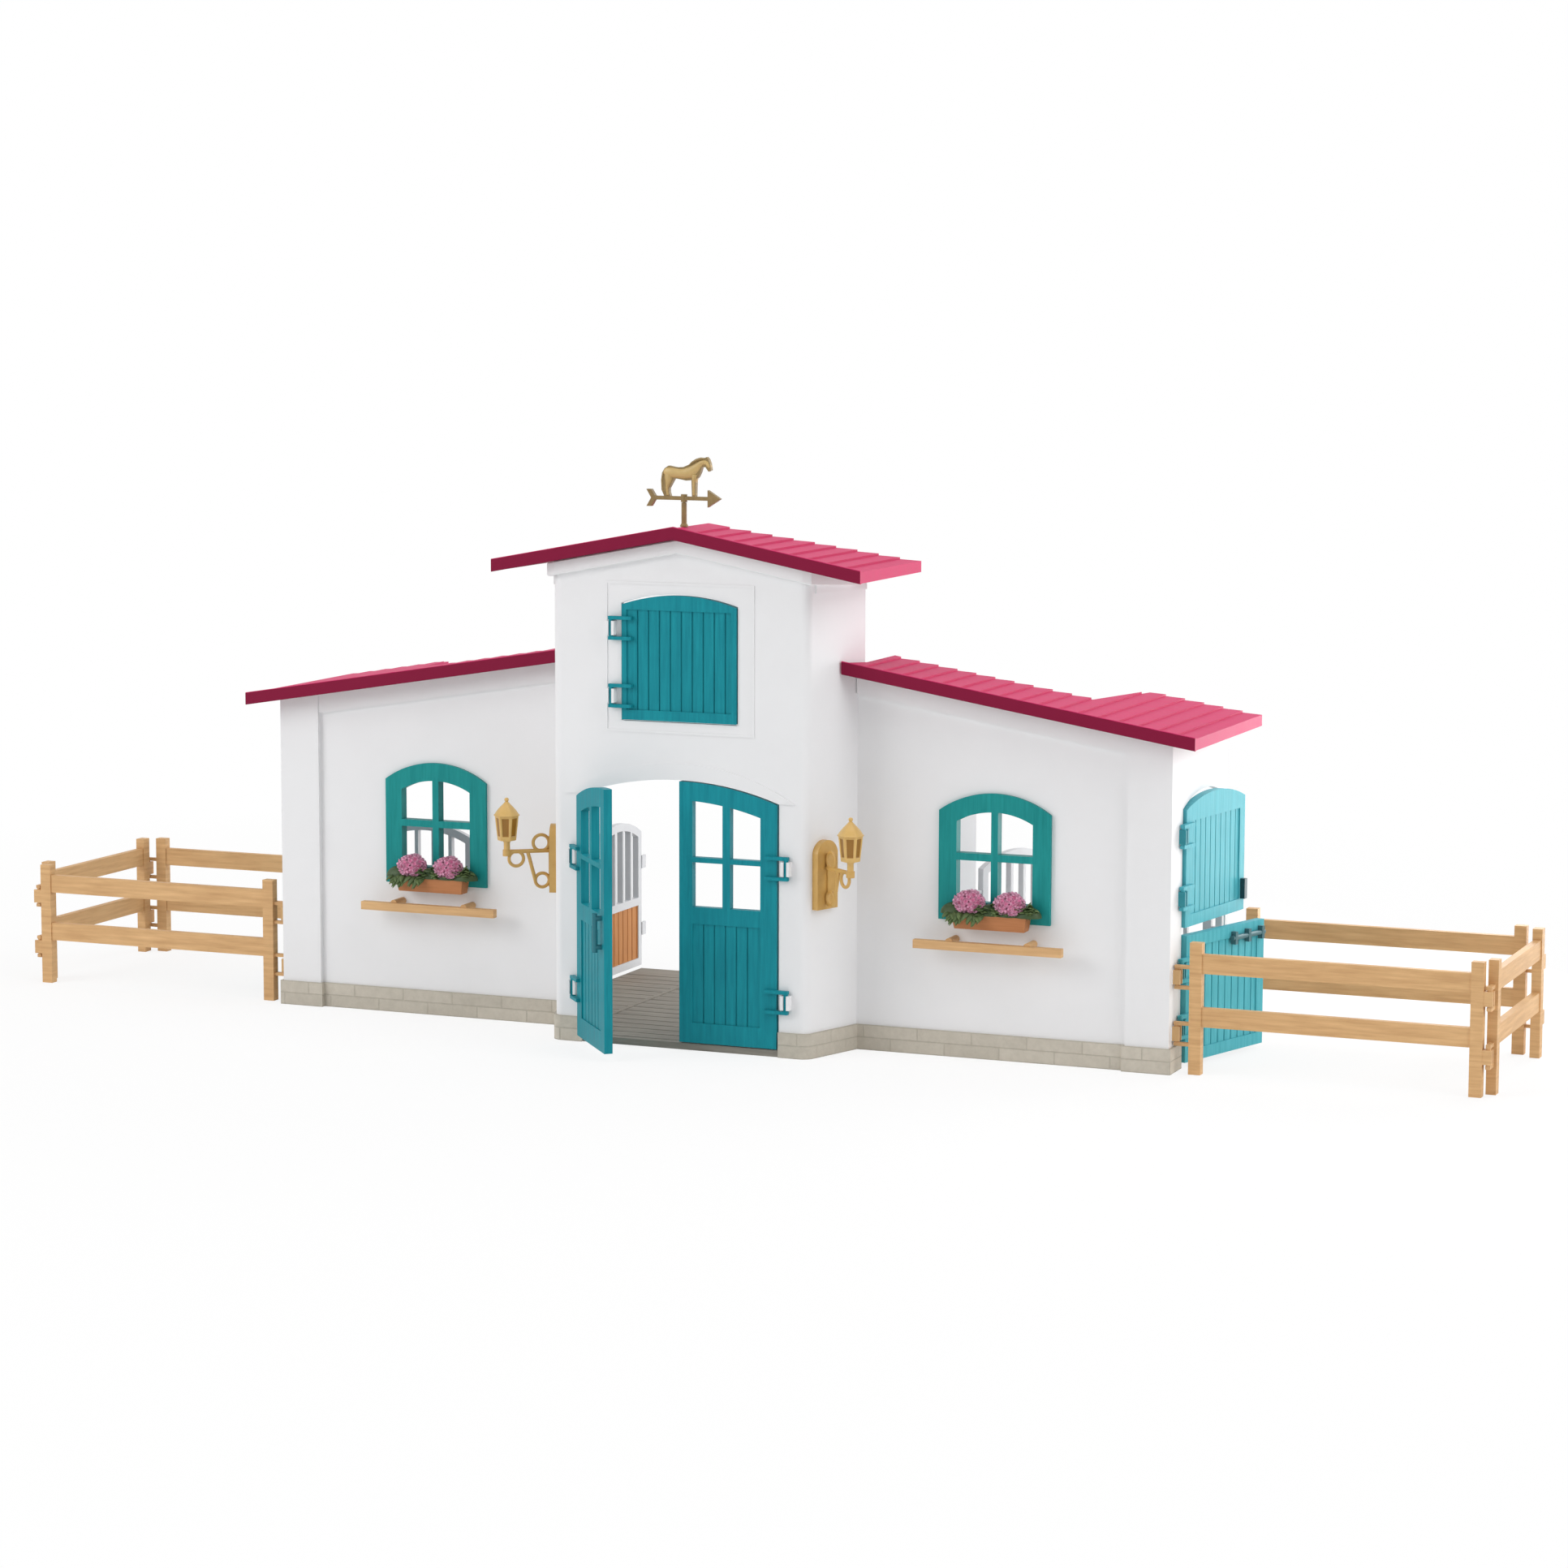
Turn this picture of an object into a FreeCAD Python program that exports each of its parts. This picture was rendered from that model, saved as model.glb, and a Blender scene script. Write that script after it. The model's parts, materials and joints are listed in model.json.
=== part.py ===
import FreeCAD, Part
import math
import os
import Sketcher
from FreeCAD import Placement, Rotation, Vector

# Toy horse stable: a tower with barn doors between two stalls, each with a fenced paddock.
# Millimetres. +X runs along the front to the viewer's right, +Y from the front to the open back,
# +Z up. The origin lies on the ground below the middle of the tower, level with the pilasters.

doc = FreeCAD.newDocument("horse_stable")
sheet = doc.addObject("Spreadsheet::Sheet", "Sheet")

driving_sizes = [
    # walls
    ("wall_thick", 4.0, "thickness of the moulded walls"),
    ("facade_half", 289.0, "half width of the long front, outside the end walls"),
    ("field_back", 3.0, "how far the wing fields stand behind the pilasters"),
    ("pilaster_wide", 26.5, "width of the corner pilaster"),
    ("pilaster_deep", 7.0, "depth of the corner pilaster"),
    ("end_deep", 110.0, "depth of the end walls, front to back"),
    ("tower_front_half", 81.0, "half width of the tower front, at its unrounded corners"),
    ("tower_root_half", 94.5, "half width of the tower where the wings meet it"),
    ("tower_proud", 40.0, "how far the tower front stands before the pilasters"),
    ("tower_back", 9.0, "how far the tower sides reach behind the pilasters"),
    ("tower_round", 6.0, "radius of the tower's front corners"),
    ("cornice_tall", 12.0, "height of the strip below the eaves"),
    ("cornice_proud", 1.0, "how far the cornice strip stands out"),
    ("border_tall", 12.0, "height of the raised border along the top of a wing field"),
    ("border_proud", 2.2, "how far that border stands out of the field"),
    ("partition_drop", 130.0, "height of the partition's low back corner"),
    ("partition_bend", 50.0, "where the partition's top starts to fall towards the back"),
    # plinth and floor
    ("plinth_tall", 15.0, "height of the stone plinth"),
    ("plinth_proud", 1.5, "how far the plinth stands out of the wall"),
    ("floor_thick", 4.0, "thickness of the floor plate"),
    ("floor_back", 186.0, "back edge of the floor plate"),
    ("floor_plank", 13.0, "spacing of the floor boards"),
    ("floor_groove", 1.2, "width of the joints between floor boards"),
    ("floor_groove_deep", 0.8, "depth of those joints"),
    ("floor_boards", 16, "number of joints between floor boards"),
    ("curb_place", 74.0, "distance of the floor's raised strips from the middle"),
    ("curb_wide", 3.0, "width of those strips"),
    ("seat_gap", 0.3, "clearance between the floor plate and the walls round it"),
    # roofs
    ("ridge_top", 309.0, "height of the tower ridge"),
    ("tower_eave_top", 287.0, "height of the tower eaves"),
    ("tower_eave_half", 117.0, "half width of the tower roof"),
    ("roof_deep", 6.6, "upright thickness of the roof slabs"),
    ("tower_overhang", 10.0, "front overhang of the tower roof"),
    ("ridge_back", 3.0, "back end of the ridge"),
    ("tower_eave_back", 50.0, "back end of the tower eaves"),
    ("wing_inner_top", 231.0, "height of a wing roof beside the tower"),
    ("wing_outer_top", 196.0, "height of a wing roof at its outer eave"),
    ("wing_roof_inner", 90.8, "where a wing roof starts, at its front corner by the tower"),
    ("wing_roof_outer", 305.7, "outer eave of a wing roof"),
    ("wing_overhang", 13.0, "front overhang of a wing roof"),
    ("wing_back_near", 55.0, "back edge of the inner part of a wing roof"),
    ("wing_back_far", 126.0, "back edge of the outer part of a wing roof"),
    ("wing_step_start", 223.0, "where the step in the back edge starts"),
    ("wing_step_end", 236.0, "where that step ends"),
    ("tower_courses", 10, "shingle courses on each tower slope"),
    ("wing_courses", 18, "shingle courses on each wing roof"),
    ("course_step", 1.1, "height of the step between two courses"),
    ("roof_gap", 0.2, "clearance between a wing roof and the tower side"),
    # hinges
    ("pin_radius", 1.4, "radius of the hinge bars"),
    ("pin_gap", 0.08, "running clearance round a hinge bar"),
    ("pin_stand", 2.2, "distance of a hinge bar from the wall that carries it"),
    ("hinge_reach", 6.4, "distance from a hinge bar to the leaf it carries"),
    ("loop_tall", 14.0, "height of a hinge loop"),
    ("loop_arm", 2.0, "thickness of a hinge loop's arms"),
    ("loop_gap", 0.8, "clearance between a clip and the loop's arms"),
    ("strap_long", 7.0, "length of the strap that carries a loop on its leaf"),
    ("clip_half", 2.7, "half width of a hinge clip"),
    ("clip_lip", 2.3, "how far a clip reaches past the bar's centre"),
    ("clip_mouth", 2.0, "width of the slot where the bar snaps in"),
    # door leaves
    ("leaf_thick", 5.0, "thickness of the door leaves"),
    ("leaf_set", 1.0, "distance from the hinge bar to a leaf's outer face"),
    ("leaf_gap", 0.7, "clearance round a leaf in its opening"),
    ("panel_deep", 0.8, "depth of a leaf's boarded panel below its frame"),
    ("board_groove", 0.9, "width of the joints between boards"),
    ("board_groove_deep", 0.6, "depth of those joints"),
    ("board_pitch", 7.0, "spacing of the boards"),
    ("board_rest", 0.25, "smallest last board, as a share of that spacing"),
    ("barn_leaf", 62.0, "width of one barn door leaf"),
    ("barn_bottom", 4.8, "lower edge of the barn doors"),
    ("barn_shoulder", 149.0, "height of a barn door at its hinge side"),
    ("barn_rise", 11.0, "rise of the barn door arch"),
    ("barn_stile", 8.4, "width of the barn door's frame at its free edge"),
    ("barn_hinge_stile", 10.3, "width of the barn door's frame at its hinge edge"),
    ("barn_bar", 4.8, "width of the upright bar between the panes"),
    ("barn_cross", 3.0, "height of the bar across the panes"),
    ("barn_pane_bottom", 86.0, "lower edge of the panes"),
    ("barn_pane_middle", 114.0, "height of the bar across the panes"),
    ("barn_top_rail", 11.0, "height of the barn door's top rail"),
    ("barn_panel_top", 76.0, "upper edge of the boarded panel"),
    ("barn_bottom_rail", 12.0, "height of the barn door's bottom rail"),
    ("barn_low_loop", 33.0, "height of the lower barn hinge"),
    ("barn_high_loop", 112.0, "height of the upper barn hinge"),
    ("arch_trim", 10.0, "width of the raised arch over the barn doors"),
    ("arch_trim_proud", 0.9, "how far that arch stands out"),
    ("hatch_half", 36.5, "half width of the hay hatch"),
    ("hatch_bottom", 195.0, "lower edge of the hatch"),
    ("hatch_shoulder", 263.0, "height of the hatch at its sides"),
    ("hatch_rise", 6.0, "rise of the hatch's arch"),
    ("hatch_stile", 3.0, "width of the hatch's frame"),
    ("hatch_rail", 6.0, "height of the hatch's bottom rail"),
    ("hatch_low_loop", 209.0, "height of the lower hatch hinge"),
    ("hatch_high_loop", 249.0, "height of the upper hatch hinge"),
    ("hatch_frame_lap", 9.7, "distance of the raised frame from the hatch's sides"),
    ("hatch_frame_rise", 6.0, "distance of the raised frame above and below the hatch"),
    ("hatch_frame_wide", 1.4, "width of the raised frame round the hatch"),
    ("hatch_frame_proud", 0.5, "how far that frame stands out"),
    ("stable_leaf", 82.0, "width of the stable door leaves"),
    ("stable_hinge_back", 16.1, "distance of the stable door hinge behind the pilaster face"),
    ("stable_bottom", 3.0, "lower edge of the lower stable door"),
    ("stable_split", 77.5, "height of the split between the stable door leaves"),
    ("stable_split_gap", 4.6, "gap between the stable door leaves"),
    ("stable_shoulder", 150.5, "height of the upper leaf at its sides"),
    ("stable_rise", 7.5, "rise of the upper leaf's arch"),
    ("stable_stile", 7.0, "width of the stable door's frame"),
    ("stable_loop_a", 25.0, "height of the first stable door hinge"),
    ("stable_loop_b", 58.0, "height of the second stable door hinge"),
    ("stable_loop_c", 100.0, "height of the third stable door hinge"),
    ("stable_loop_d", 136.0, "height of the fourth stable door hinge"),
    ("left_barn_open", 50.0, "angle at which the left barn door stands open"),
    ("right_upper_open", 8.0, "angle at which the right upper stable door stands open"),
    ("right_lower_open", 17.0, "angle at which the right lower stable door stands open"),
    # door furniture
    ("handle_radius", 1.5, "radius of the door handle's bar"),
    ("handle_low", 64.0, "lower end of the handle"),
    ("handle_high", 87.0, "upper end of the handle"),
    ("handle_stand", 4.0, "distance of the handle's bar from the leaf"),
    ("handle_inset", 6.0, "distance of the handle from the leaf's free edge"),
    ("bolt_radius", 1.5, "radius of a door bolt"),
    ("bolt_long", 34.0, "length of a door bolt"),
    ("bolt_drop", 7.0, "distance of the bolt below the leaf's top edge"),
    ("guide_wide", 2.6, "width of a bolt guide"),
    ("guide_tall", 7.5, "height of a bolt guide"),
    ("guide_deep", 3.2, "how far a bolt guide stands out of the leaf"),
    ("guide_inset", 2.7, "distance of the outer guides from the bolt's ends"),
    ("catch_wide", 3.6, "width of the catch on an upper leaf"),
    ("catch_tall", 12.0, "height of that catch"),
    ("catch_deep", 3.0, "how far that catch stands out of the leaf"),
    # windows
    ("window_place", 181.8, "distance of a window's middle from the tower's middle"),
    ("window_half", 34.4, "half width of a window frame"),
    ("window_bottom", 81.6, "lower edge of a window frame"),
    ("window_shoulder", 145.9, "height of a window frame at its sides"),
    ("window_rise", 11.1, "rise of the window's arch"),
    ("window_border", 11.0, "width of a window frame's border"),
    ("window_lap", 3.0, "how far a window frame laps over the wall"),
    ("window_flange", 2.2, "thickness of the lapping flange"),
    ("window_plug", 4.6, "depth of the frame inside the wall"),
    ("window_mullion", 4.2, "width of the upright window bar"),
    ("window_transom", 4.2, "height of the window bar across"),
    ("window_cross", 119.2, "height of the middle of the bar across"),
    ("fit_gap", 0.15, "clearance of a window frame in its wall"),
    # flower boxes and tie rails
    ("box_half", 23.0, "half length of a flower box at its rim"),
    ("box_bottom", 78.0, "lower face of a flower box"),
    ("box_tall", 8.6, "height of a flower box"),
    ("box_deep", 10.0, "depth of a flower box at its rim"),
    ("box_slope", 1.6, "how far the box's front leans"),
    ("box_rim", 1.4, "thickness of the box's rim"),
    ("box_recess", 2.0, "depth of the soil below the rim"),
    ("plant_tall", 6.4, "height of the leaves above the rim"),
    ("plant_wide", 8.5, "half length of one clump of leaves"),
    ("plant_deep", 6.0, "half depth of a clump of leaves"),
    ("plant_pitch", 11.2, "spacing of the clumps"),
    ("bloom_wide", 9.5, "half width of a flower head"),
    ("bloom_deep", 6.5, "half depth of a flower head"),
    ("bloom_tall", 7.0, "half height of a flower head"),
    ("bloom_place", 12.4, "distance of the flower heads from the box's middle"),
    ("bloom_rise", 7.0, "height of the flower heads' middle above the rim"),
    ("bloom_forward", 2.0, "how far the flower heads stand before the box's middle"),
    ("bloom_gap", 0.1, "clearance between leaves and flower heads"),
    ("rail_half", 45.5, "half length of a tie rail"),
    ("rail_stand", 15.0, "distance of a tie rail from the wall field"),
    ("rail_tall", 5.0, "height of a tie rail"),
    ("rail_deep", 4.6, "depth of a tie rail"),
    ("rail_height", 65.5, "lower face of a tie rail"),
    ("rail_peg", 2.2, "radius of the pegs that hold a tie rail"),
    ("rail_peg_place", 24.0, "distance of the pegs from the rail's middle"),
    ("rail_peg_lift", 4.6, "height of the pegs' middle above the rail's lower face"),
    # lamps
    ("lamp_back", -27.0, "where a lamp sits along the tower side"),
    ("lamp_turn", 18.0, "angle between a lamp's arm and the wall's normal"),
    ("lamp_bottom", 88.0, "lower end of a lamp's wall plate"),
    ("lamp_plate_tall", 40.5, "height of a lamp's wall plate"),
    ("lamp_plate_half", 9.0, "half width of a lamp's wall plate"),
    ("lamp_plate_arch", 7.5, "rise of the plate's arched top"),
    ("lamp_plate_thick", 4.2, "thickness of a lamp's wall plate"),
    ("lamp_rod", 1.25, "radius of the lamp's wrought rods"),
    ("lamp_scroll", 1.0, "radius of the bar that a lamp's rings are bent from"),
    ("lamp_strut", 1.1, "radius of the slanting bar below a lamp's arm"),
    ("lamp_arm", 31.0, "reach of a lamp's arm"),
    ("lamp_arm_lift", 24.5, "height of the arm above the plate's lower end"),
    ("lamp_ring_top", 4.8, "radius of the ring above the arm"),
    ("lamp_ring_middle", 4.4, "radius of the ring below the arm"),
    ("lamp_ring_low", 4.2, "radius of the ring at the strut's foot"),
    ("lantern_foot", 7.0, "height of the lantern's stem"),
    ("lantern_low", 5.8, "radius of the lantern at its base"),
    ("lantern_high", 7.3, "radius of the lantern below its cap"),
    ("lantern_tall", 13.5, "height of the lantern's glass"),
    ("lantern_cap", 8.0, "height of the lantern's cap"),
    ("lantern_eave", 0.5, "how far the cap stands over the glass"),
    ("lantern_finial", 1.4, "radius of the cap's finial"),
    # weather vane
    ("vane_place", -33.0, "where the weather vane stands on the ridge"),
    ("vane_post_radius", 1.6, "radius of the vane's post"),
    ("vane_post_tall", 14.0, "height of the vane's post above the ridge"),
    ("vane_foot", 2.4, "radius of the vane's foot"),
    ("vane_foot_tall", 2.0, "height of the vane's foot above the ridge"),
    ("vane_pivot", 0.9, "radius of the pin that carries the arrow"),
    ("vane_pivot_tall", 3.0, "length of that pin"),
    ("vane_gap", 0.3, "clearance between the post and the arrow"),
    ("vane_plate", 3.0, "thickness of the vane's figures"),
    ("arrow_half", 23.5, "half length of the arrow"),
    ("arrow_bar", 1.1, "half height of the arrow's bar"),
    ("arrow_hub", 1.9, "radius of the hub that turns on the pin"),
    ("arrow_hub_tall", 4.6, "height of that hub"),
    ("arrow_head", 8.0, "length of the arrow's head"),
    ("arrow_head_half", 5.0, "half height of the arrow's head"),
    ("horse_long", 31.8, "length of the horse figure"),
    ("horse_tall", 23.6, "height of the horse figure"),
    ("horse_forward", 1.8, "how far the horse's middle stands before the post"),
    # fences
    ("fence_tall", 76.7, "height of the fence posts"),
    ("fence_post", 7.2, "width of a fence post"),
    ("fence_post_deep", 5.8, "depth of a fence post"),
    ("fence_rail_deep", 4.4, "depth of the fence rails"),
    ("fence_rail_tall", 11.2, "height of the fence rails"),
    ("fence_low_rail", 28.0, "lower edge of the lower fence rail"),
    ("fence_high_rail", 59.0, "lower edge of the upper fence rail"),
    ("fence_long", 163.0, "post spacing of the front and back fences"),
    ("fence_short", 116.0, "post spacing of the side fences"),
    ("fence_reach", 8.0, "distance from a fence's hinge bar to its first post"),
    ("fence_clip_stand", 3.0, "distance of a fence clip's bore from its post"),
    ("fence_hinge_back", 8.0, "distance of the fence hinge behind the pilaster face"),
    ("fence_low_loop", 23.0, "height of the lower fence hinge"),
    ("fence_high_loop", 56.0, "height of the upper fence hinge"),
    # stall gates
    ("gate_stand", 2.7, "distance of a gate's hinge bar behind the wall's back edge"),
    ("gate_wall_place", 2.0, "distance of the end wall's gate hinge from its outer face"),
    ("gate_gap", 8.0, "gap between two closed gates, which holds the inner gate's clips"),
    ("gate_clip_stand", 3.0, "distance of a gate clip's bore from the gate's free end"),
    ("gate_thick", 4.0, "thickness of the gates"),
    ("gate_bottom", 6.0, "lower edge of the gates"),
    ("gate_shoulder", 94.0, "height of the gates at their ends"),
    ("gate_rise", 9.0, "rise of the gates' arched tops"),
    ("gate_border", 5.0, "width of the gates' frame"),
    ("gate_board_top", 46.0, "upper edge of the gates' boards"),
    ("gate_rail", 5.0, "height of the rail above the boards"),
    ("gate_bar", 2.4, "width of the gates' bars"),
    ("gate_slots", 5, "number of gaps between the gates' bars"),
    ("gate_board_thick", 2.8, "thickness of the gates' boards"),
    ("gate_board_gap", 0.1, "clearance of the boards in their frame"),
    ("gate_low_loop", 30.0, "height of the lower gate hinge"),
    ("gate_high_loop", 74.0, "height of the upper gate hinge"),
    ("left_inner_open", 90.0, "angle at which the left inner gate stands open"),
    ("right_inner_open", 70.0, "angle at which the right inner gate stands open"),
    # shaping
    ("past", 5.0, "how far a cut runs past the wall it goes through"),
    ("root_in", 0.4, "how deep a raised feature is rooted in its wall"),
]


class Size:
    """A length as its formula in the sheet's words and its value, kept side by side."""

    def __init__(self, formula, value):
        self.formula = formula
        self.value = value

    def __add__(self, other):
        other = size_of(other)
        return Size(f"({self.formula} + {other.formula})", self.value + other.value)

    def __sub__(self, other):
        other = size_of(other)
        return Size(f"({self.formula} - {other.formula})", self.value - other.value)

    def __mul__(self, other):
        other = size_of(other)
        return Size(f"({self.formula} * {other.formula})", self.value * other.value)

    def __truediv__(self, other):
        other = size_of(other)
        return Size(f"({self.formula} / {other.formula})", self.value / other.value)

    def __radd__(self, other):
        return size_of(other) + self

    def __rsub__(self, other):
        return size_of(other) - self

    def __rmul__(self, other):
        return size_of(other) * self

    def __rtruediv__(self, other):
        return size_of(other) / self

    def __neg__(self):
        return Size(f"(0 - {self.formula})", -self.value)


def size_of(number):
    if isinstance(number, Size):
        return number
    return Size(f"({number})", float(number))


def root(number):
    return Size(f"sqrt({number.formula})", math.sqrt(number.value))


def sine(angle):
    return Size(f"sin({angle.formula})", math.sin(math.radians(angle.value)))


def cosine(angle):
    return Size(f"cos({angle.formula})", math.cos(math.radians(angle.value)))


def angle_of(rise, run):
    """Angle of a slope in plain degrees."""
    rise = size_of(rise)
    run = size_of(run)
    formula = f"(atan2({rise.formula}; {run.formula}) / 1 deg)"
    return Size(formula, math.degrees(math.atan2(rise.value, run.value)))


class Sizes:
    """The sheet's own cells, each under its alias."""


dim = Sizes()
for row, (alias, number, note) in enumerate(driving_sizes, start=1):
    sheet.set(f"A{row}", alias)
    sheet.set(f"B{row}", str(number))
    sheet.set(f"C{row}", note)
    sheet.setAlias(f"B{row}", alias)
    setattr(dim, alias, Size(f"Sheet.{alias}", float(number)))
doc.recompute()

nodes = []
sides = {"left": -1, "right": 1}


# Drawing and solid helpers

def bind(item, **formulas):
    for name, number in formulas.items():
        item.setExpression(name.replace("__", "."), size_of(number).formula)


def new_body(label):
    body = doc.addObject("PartDesign::Body", label)
    body.Label = label
    nodes.append(body)
    return body


def place(item, x, y, z=0, turn=0):
    """Stand an item, made round its own upright axis, at x, y, z and turn it by an angle."""
    item.Placement = Placement(Vector(0, 0, 0), Rotation(Vector(0, 0, 1), 1))
    bind(item, Placement__Base__x=x, Placement__Base__y=y, Placement__Base__z=z)
    bind(item, Placement__Rotation__Angle=turn)


def arch_radius(half, rise):
    return (half * half + rise * rise) / (2 * rise)


def arch_drop(radius, offset):
    """How far an arch has fallen at an offset from its crown."""
    return radius - root(radius * radius - offset * offset)


def box_outline(x0, y0, x1, y1):
    return [(x0, y0), (x1, y0), (x1, y1), (x0, y1)]


def arched_outline(half, bottom, shoulder, rise, middle=0):
    """A rectangle whose top is one shallow arc."""
    left = middle - half
    right = middle + half
    return [(left, bottom), (right, bottom), (right, shoulder, arch_radius(half, rise)), (left, shoulder)]


def draw_circle(sketch, x, y, radius):
    spot = Vector(size_of(x).value, size_of(y).value, 0)
    ring = sketch.addGeometry(Part.Circle(spot, Vector(0, 0, 1), size_of(radius).value))
    for kind, number in (("DistanceX", x), ("DistanceY", y)):
        rule = sketch.addConstraint(Sketcher.Constraint(kind, -1, 1, ring, 3, size_of(number).value))
        sketch.setExpression(f"Constraints[{rule}]", size_of(number).formula)
    rule = sketch.addConstraint(Sketcher.Constraint("Radius", ring, size_of(radius).value))
    sketch.setExpression(f"Constraints[{rule}]", size_of(radius).formula)


def draw_outline(sketch, corners):
    """Closed outline. A corner is (x, y), or (x, y, radius) where an arc swells out to the next
    corner, or (x, y, radius, -1) where that arc is hollow."""
    spots = [Vector(size_of(corner[0]).value, size_of(corner[1]).value, 0) for corner in corners]
    pairs = list(zip(spots, spots[1:] + spots[:1]))
    swept = sum(start.x * end.y - end.x * start.y for start, end in pairs)
    way = math.copysign(1, swept)
    edges = []
    for corner, (start, end) in zip(corners, pairs):
        if len(corner) == 2:
            edges.append((sketch.addGeometry(Part.LineSegment(start, end)), 1, 2, None))
            continue
        radius = size_of(corner[2])
        swell = corner[3] if len(corner) > 3 else 1
        chord = end - start
        out = Vector(chord.y, -chord.x, 0) * (way * swell / chord.Length)
        rise = radius.value - math.sqrt(radius.value ** 2 - chord.Length ** 2 / 4)
        arc = sketch.addGeometry(Part.Arc(start, (start + end) * 0.5 + out * rise, end))
        forward = sketch.getPoint(arc, 1).distanceToPoint(start) < chord.Length / 2
        edges.append((arc, 1 if forward else 2, 2 if forward else 1, radius))
    rules = []
    formulas = []
    for (edge, first, last, radius), after in zip(edges, edges[1:] + edges[:1]):
        rules.append(Sketcher.Constraint("Coincident", edge, last, after[0], after[1]))
        formulas.append(None)
        if radius is not None:
            rules.append(Sketcher.Constraint("Radius", edge, radius.value))
            formulas.append(radius.formula)
    for corner, (edge, first, last, radius) in zip(corners, edges):
        for kind, number in (("DistanceX", corner[0]), ("DistanceY", corner[1])):
            rules.append(Sketcher.Constraint(kind, -1, 1, edge, first, size_of(number).value))
            formulas.append(size_of(number).formula)
    placed = sketch.addConstraint(rules)
    for rule, formula in zip(placed, formulas):
        if formula is not None:
            sketch.setExpression(f"Constraints[{rule}]", formula)


def new_sketch(body, plane, level, loops):
    sketch = body.newObject("Sketcher::SketchObject", body.Name + "_outline")
    support = [item for item in body.Origin.OriginFeatures if item.Role == plane + "_Plane"][0]
    sketch.AttachmentSupport = (support, [""])
    sketch.MapMode = "FlatFace"
    bind(sketch, AttachmentOffset__Base__z=-level if plane == "XZ" else level)
    for loop in loops:
        if isinstance(loop, tuple):
            draw_circle(sketch, *loop)
        else:
            draw_outline(sketch, loop)
    return sketch


def pad(body, plane, loops, low, high):
    """Material inside the loops, from one level to a higher one along the plane's normal."""
    low = size_of(low)
    high = size_of(high)
    sketch = new_sketch(body, plane, high if plane == "XZ" else low, loops)
    feature = body.newObject("PartDesign::Pad", body.Name + "_pad")
    feature.Profile = sketch
    bind(feature, Length=high - low)
    return feature


def cut(body, plane, loops, low, high):
    """Material taken away inside the loops, from one level to a higher one."""
    low = size_of(low)
    high = size_of(high)
    sketch = new_sketch(body, plane, low if plane == "XZ" else high, loops)
    feature = body.newObject("PartDesign::Pocket", body.Name + "_cut")
    feature.Profile = sketch
    bind(feature, Length=high - low)
    return feature


def repeat(body, feature, spacing, count):
    """The feature again and again along its sketch's first axis."""
    pattern = body.newObject("PartDesign::LinearPattern", body.Name + "_row")
    pattern.Originals = [feature]
    pattern.Direction = (feature.Profile[0], ["H_Axis"])
    bind(pattern, Length=spacing * (count - 1), Occurrences=count)
    body.Tip = pattern
    return pattern


def revolve(body, corners):
    """A profile in the upright plane, turned round the body's own upright axis."""
    sketch = new_sketch(body, "XZ", size_of(0), [corners])
    feature = body.newObject("PartDesign::Revolution", body.Name + "_turned")
    feature.Profile = sketch
    feature.ReferenceAxis = (sketch, ["V_Axis"])
    feature.Angle = 360
    return feature


def fused(label, pieces):
    union = doc.addObject("Part::MultiFuse", label)
    union.Label = label
    union.Shapes = pieces
    union.Refine = False
    nodes.append(union)
    return union


# Sizes that several pieces share

splay = (dim.tower_root_half - dim.tower_front_half) / dim.tower_proud
slant = root(splay * splay + 1)
clip_tall = dim.loop_tall - 2 * dim.loop_arm - 2 * dim.loop_gap
bore = dim.pin_radius + dim.pin_gap
tower_slope = (dim.ridge_top - dim.tower_eave_top) / dim.tower_eave_half
wing_slope = (dim.wing_inner_top - dim.wing_outer_top) / (dim.wing_roof_outer - dim.wing_roof_inner)
barn_opening = dim.barn_leaf + 2 * dim.leaf_gap
leaf_far = dim.hinge_reach + dim.stable_leaf
stable_hinge_x = dim.facade_half + dim.pin_stand
stable_front_jamb = dim.stable_hinge_back + dim.hinge_reach - dim.leaf_gap
stable_back_jamb = dim.stable_hinge_back + leaf_far + dim.leaf_gap
barn_hinge_x = dim.barn_leaf + dim.leaf_gap / 2 + dim.hinge_reach
barn_hinge_y = -dim.tower_proud - dim.pin_stand
hatch_hinge_x = -dim.hatch_half - dim.hinge_reach
fence_hinge_x = dim.facade_half + dim.pin_stand
partition_end = dim.tower_root_half + splay * dim.end_deep
gate_inner_x = partition_end - slant * dim.wall_thick / 2
gate_outer_x = dim.facade_half - dim.gate_wall_place
gate_y = dim.end_deep + dim.gate_stand
gate_wide = (gate_outer_x - gate_inner_x - 2 * dim.hinge_reach - dim.gate_gap) / 2
fence_far_long = dim.fence_reach + dim.fence_long + dim.fence_post
fence_far_short = dim.fence_reach + dim.fence_short + dim.fence_post
window_front = dim.field_back - dim.window_flange


def tower_side(y):
    """Distance of the tower's outer side face from the middle, at a depth."""
    return dim.tower_root_half + splay * y


def tower_underside(x):
    return dim.ridge_top - dim.roof_deep - tower_slope * x


def wing_underside(x):
    return dim.wing_inner_top - dim.roof_deep - wing_slope * (x - dim.wing_roof_inner)


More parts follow.
